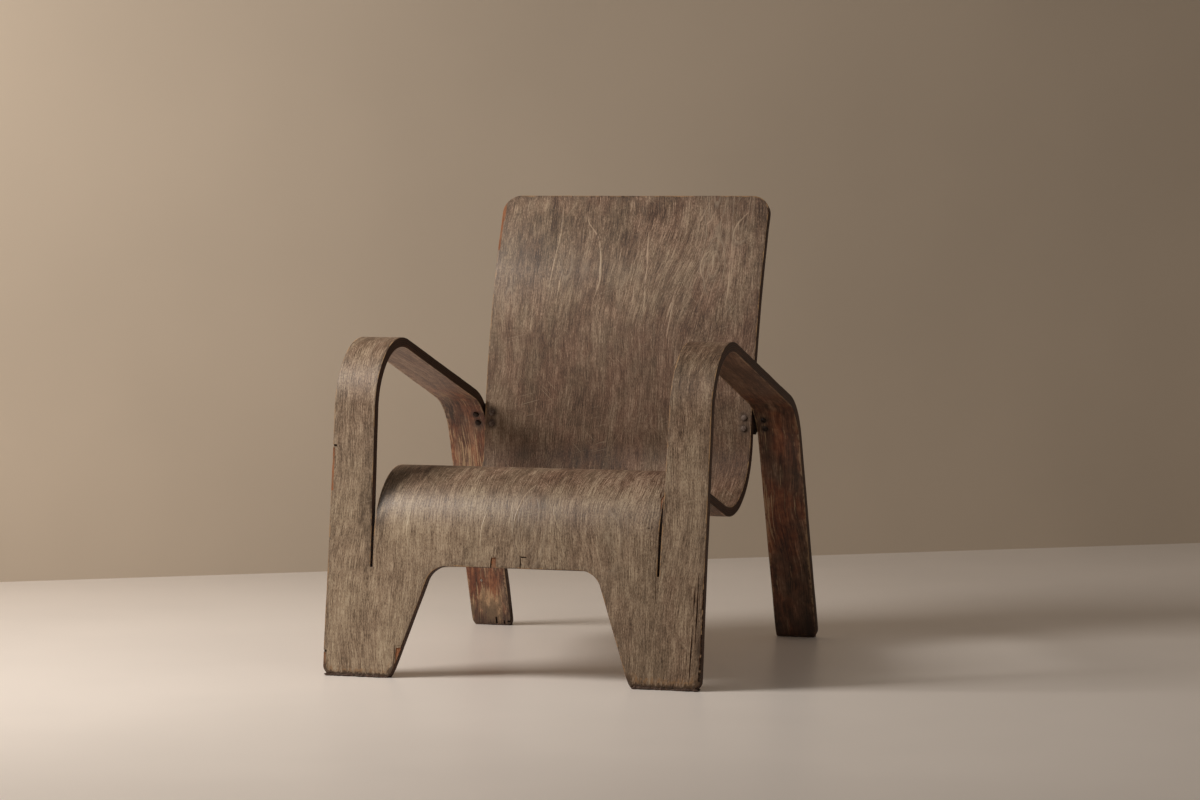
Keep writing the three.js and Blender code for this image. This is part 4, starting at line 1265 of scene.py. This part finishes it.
def crushed_pads():
    """Low ragged skirts round the soles, where the plies have crushed and spread: points and faces."""
    points, polygons = [], []
    front = (strap_outer(0) - FRONT_FOOT_WIDTH, strap_outer(0), 0.0, FRONT_HEADING)
    rear = (strap_inner(STRAP.length), strap_outer(STRAP.length), STRAP.length, REAR_LEG_HEADING)
    for number, (side, (inner, outer, run, heading)) in enumerate(
        (side, foot) for side in (-1, 1) for foot in (front, rear)
    ):
        low = inner + FOOT_INNER_RADIUS * PAD_INSET_SHARE
        high = outer - FOOT_OUTER_RADIUS * PAD_INSET_SHARE
        half = (high - low) / 2
        middle = side * (high + low) / 2
        face_y = placed(np.array([middle]), np.array([run]), 0.0)[0, 1]
        deep = SHEET / math.sin(heading) / 2
        corners = ((-1, -1), (1, -1), (1, 1), (-1, 1))
        loop = spaced(rounded([(x * half, y * abs(deep), PAD_CORNER) for x, y in corners]))
        count = len(loop)
        out = -inward(loop)
        for level, (height, reach) in enumerate(((0, 0.2), (PAD_BELLY, 0.6), (PAD_HEIGHT, -0.6))):
            ragged = reach + 0.4 * wobble(count, 5, 70 + number * 3 + level) + 0.3 * wobble(count, 1.5, 90 + number)
            ring = loop + out * PAD_OVERHANG * ragged[:, None]
            rise = height * (1 + 0.3 * wobble(count, 3, 110 + number * 3 + level))
            points.append(np.stack([middle + ring[:, 0], face_y + deep + ring[:, 1], rise], axis=1))
        start = sum(map(len, points[:-3]))
        polygons += [tuple(start + i for i in reversed(range(count)))]
        polygons += [tuple(start + 2 * count + i for i in range(count))]
        for ring in (0, 1):
            for i in range(count):
                near, far = start + ring * count + i, start + ring * count + (i + 1) % count
                polygons.append((near, far, far + count, near + count))
    return np.concatenate(points), polygons


def raised_grain():
    """Low ridges where the grain of the show side has risen: points and faces."""
    points, polygons = [], []
    for number, path in enumerate(RIDGES):
        knots = np.array(path) * MM
        walked = np.concatenate([[0], np.cumsum(np.linalg.norm(np.diff(knots, axis=0), axis=1))])
        count = round(walked[-1] / RIDGE_STEP)
        share = np.linspace(0, 1, count)
        line = np.stack([np.interp(share * walked[-1], walked, knots[:, axis]) for axis in (0, 1)], axis=1)
        for _ in range(RIDGE_SMOOTHING):
            line[1:-1] = (line[:-2] + 2 * line[1:-1] + line[2:]) / 4
        heading = np.gradient(line, axis=0)
        side = np.stack([heading[:, 1], -heading[:, 0]], axis=1) / np.linalg.norm(heading, axis=1)[:, None]
        fade = np.sqrt(np.sin(math.pi * share))
        reach = RIDGE_HALF_WIDTH * fade * (1 + 0.4 * wobble(count, 5, 150 + number))
        line += side * (0.5 * MM * wobble(count, 8, 130 + number))[:, None]
        start = sum(map(len, points))
        for out, depth in ((-1, RIDGE_ROOT), (0, -RIDGE_HEIGHT * fade), (1, RIDGE_ROOT)):
            edge = line + side * (out * reach)[:, None]
            points.append(placed(edge[:, 0], edge[:, 1], depth))
        for column in (0, 1):
            for i in range(start + column * count, start + (column + 1) * count - 1):
                polygons.append((i, i + count, i + count + 1, i + 1))
    return np.concatenate(points), polygons


def wear_marks():
    """All tears, splits and small holes of the shell, as cuts."""
    return apron_wear() + left_leg_wear() + right_leg_wear() + back_wear() + rear_foot_wear()


def new_camera():
    """A camera at the photograph's place, with its angle of view."""
    camera = bpy.data.objects.new("camera", bpy.data.cameras.new("camera"))
    bpy.context.scene.collection.objects.link(camera)
    forward = Vector(CAMERA_FORWARD).normalized()
    right = forward.cross(Vector((0, 0, 1))).normalized()
    up = right.cross(forward)
    turn = Matrix((right, up, -forward)).transposed().to_4x4()
    camera.matrix_world = Matrix.Translation(CAMERA_PLACE) @ turn @ Matrix.Rotation(CAMERA_ROLL, 4, "Z")
    camera.data.sensor_width = SENSOR_WIDTH
    camera.data.lens = LENS
    bpy.context.scene.camera = camera


def soft_box(name, place, target, size, power, colour=(1, 1, 1)):
    light = bpy.data.lights.new(name, "AREA")
    light.shape = "RECTANGLE"
    light.size, light.size_y = size
    light.energy = power
    light.color = colour
    lamp = bpy.data.objects.new(name, light)
    lamp.visible_camera = False
    bpy.context.scene.collection.objects.link(lamp)
    aim = (Vector(target) - Vector(place)).to_track_quat("-Z", "Y")
    lamp.matrix_world = Matrix.Translation(place) @ aim.to_matrix().to_4x4()


def studio():
    """A pale floor, a plain wall behind the chair that is seen only from the front, and soft light."""
    world = bpy.data.worlds.new("studio")
    bpy.context.scene.world = world
    world.use_nodes = True
    background = world.node_tree.nodes["Background"]
    background.inputs["Color"].default_value = WORLD_COLOUR
    background.inputs["Strength"].default_value = WORLD_STRENGTH

    reach = 9.0
    floor = new_piece(
        "floor", [(-reach, -reach, 0), (reach, -reach, 0), (reach, reach, 0), (-reach, reach, 0)], [(0, 1, 2, 3)],
        [0], [stage_material("pale_floor", FLOOR_COLOUR, False)],
    )
    start, end = Vector(WALL_LEFT), Vector(WALL_RIGHT)
    along = (end - start).normalized() * reach
    foot = [start - along, end + along]
    wall = new_piece(
        "wall", [(*foot[0], 0), (*foot[1], 0), (*foot[1], reach / 2), (*foot[0], reach / 2)], [(0, 1, 2, 3)],
        [0], [stage_material("plain_wall", WALL_COLOUR, True)],
    )
    soft_box("key", KEY_PLACE, (0, 0, 0.35), (0.9, 0.9), KEY_POWER, (1, 0.96, 0.91))
    soft_box("top", TOP_PLACE, (-0.1, -0.1, 0.4), (0.5, 0.25), TOP_POWER, (1, 0.98, 0.96))


def stage_material(name, colour, one_sided):
    material, tree, shader = new_material(name)
    place = node(tree, "ShaderNodeTexCoord").outputs["Object"]
    cloud = noise(tree, place, scale=1.3, detail=3.0)
    shade = ranged(tree, cloud, 0.3, 0.7, 0.96, 1.03)
    grey = node(tree, "ShaderNodeCombineColor", {0: shade, 1: shade, 2: shade}).outputs[0]
    tree.links.new(blend(tree, 1.0, colour, grey, "MULTIPLY"), shader.inputs["Base Color"])
    shader.inputs["Roughness"].default_value = 0.9 if one_sided else 0.34
    shader.inputs["Specular IOR Level"].default_value = 0.3 if one_sided else 0.5
    if one_sided:
        clear = node(tree, "ShaderNodeBsdfTransparent").outputs[0]
        behind = node(tree, "ShaderNodeNewGeometry").outputs["Backfacing"]
        mixed = node(tree, "ShaderNodeMixShader", {0: behind, 1: shader.outputs[0], 2: clear})
        output = next(n for n in tree.nodes if n.type == "OUTPUT_MATERIAL")
        tree.links.new(mixed.outputs[0], output.inputs["Surface"])
    return material


BLEACHED_TONES = paint("5e4c3a"), paint("9a846c"), paint("bfac91")
DULL_TONES = paint("34261c"), paint("685240"), paint("a58e78")
RED_TONES = paint("402a20"), paint("735443"), paint("ac8b76")
POLISHED_TONES = paint("381d12"), paint("76422a"), paint("a66f4c")
SHELTERED_TONES = paint("5d4538"), paint("846652"), paint("a58a72")
STREAK_DARK, STREAK_PALE = paint("3f3127"), paint("b8a28a")
PORE_DARK, SCUFF_PALE, WORN_TAN = paint("2b201a"), paint("b8a68c"), paint("a8845c")
GRIME, IRON_STAIN = paint("2f231d"), paint("2a221e")
POLISH_DARK, RUBBED_PALE, RUBBED_TAN = paint("46291c"), paint("c0a07c"), paint("96714c")
EDGE_BROWN, EDGE_DARK, EDGE_WARM, GLUE_DARK = paint("573b2a"), paint("3c281c"), paint("74492f"), paint("1e130d")
BARE_ORANGE, BARE_TAN = paint("9c603a"), paint("90745a")

# The camera and the studio
CAMERA_PLACE = (1.79347, -5.6065, 0.74818)
CAMERA_FORWARD = (-0.29908, 0.95273, -0.05343)
CAMERA_ROLL = math.radians(0.1434)
SENSOR_WIDTH = 36.0
LENS = 104.6
WORLD_COLOUR, WORLD_STRENGTH = paint("e8ded2"), 0.24
FLOOR_COLOUR, WALL_COLOUR = paint("eee5dd"), paint("c8b8a5")
WALL_LEFT, WALL_RIGHT = (-1.468, 0.737), (0.719, 2.373)
KEY_PLACE, KEY_POWER = (-1.7, -1.15, 1.9), 52.0
TOP_PLACE, TOP_POWER = (-0.58, -0.86, 1.5), 2.2

LONG_GRAIN = long_grain_group()
ROTARY_FIGURE = rotary_figure_group()
WEATHER_PATCHES = weather_patches_group()
SCUFFS = scuffs_group()
WORN_RIM = worn_rim_group()
PLY_LAYERS = ply_layers_group()
FLOOR_DARKENING = floor_darkening_group()
CRUSHED_FOOT = crushed_foot_group()
SHADED_PATCH = shaded_patch_group()

scene = bpy.context.scene
scene.view_settings.view_transform = "Standard"
new_camera()
studio()

points, polygons, finishes = worn_sheet()
shell_finishes = [face_veneer_material(), inner_veneer_material(), ply_edge_material(), bare_ply_material()]
shell = new_piece("worn_shell", points, polygons, finishes, shell_finishes)
carve(shell, wear_marks() + frayed_ends())
mark_places(shell)
shell.data.shade_smooth()
shell.data.set_sharp_from_angle(angle=math.radians(40))
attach(shell, "root")
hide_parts("plywood_shell")

pad_points, pad_polygons = crushed_pads()
pads = new_piece("crushed_feet", pad_points, pad_polygons, [0] * len(pad_polygons), [shell_finishes[BARE_PLY]])
mark_places(pads)
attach(pads, "root")

ridge_points, ridge_polygons = raised_grain()
ridges = new_piece("raised_grain", ridge_points, ridge_polygons, [0] * len(ridge_polygons), [shell_finishes[0]])
# The ridges are painted paler all over: a painted highlight along the raised grain
mark_places(ridges, RIDGE_PAINTED_HIGHLIGHT)
ridges.data.shade_smooth()
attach(ridges, "root")

dark = steel_material("dark_steel", paint("2b2725"), paint("3b281c"), 0.8, 0.5)
dusty = steel_material("dusty_steel", paint("75645a"), paint("4c3a2e"), 0.3, 0.7)
bright = steel_material("bright_steel", paint("b9b4ab"), paint("7b7268"), 1.0, 0.35)
for name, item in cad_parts.items():
    if name != "plywood_shell":
        item.data.materials.clear()
        item.data.materials.append(bright if name == "leg_pin" else dusty if name.startswith("bolt_back") else dark)
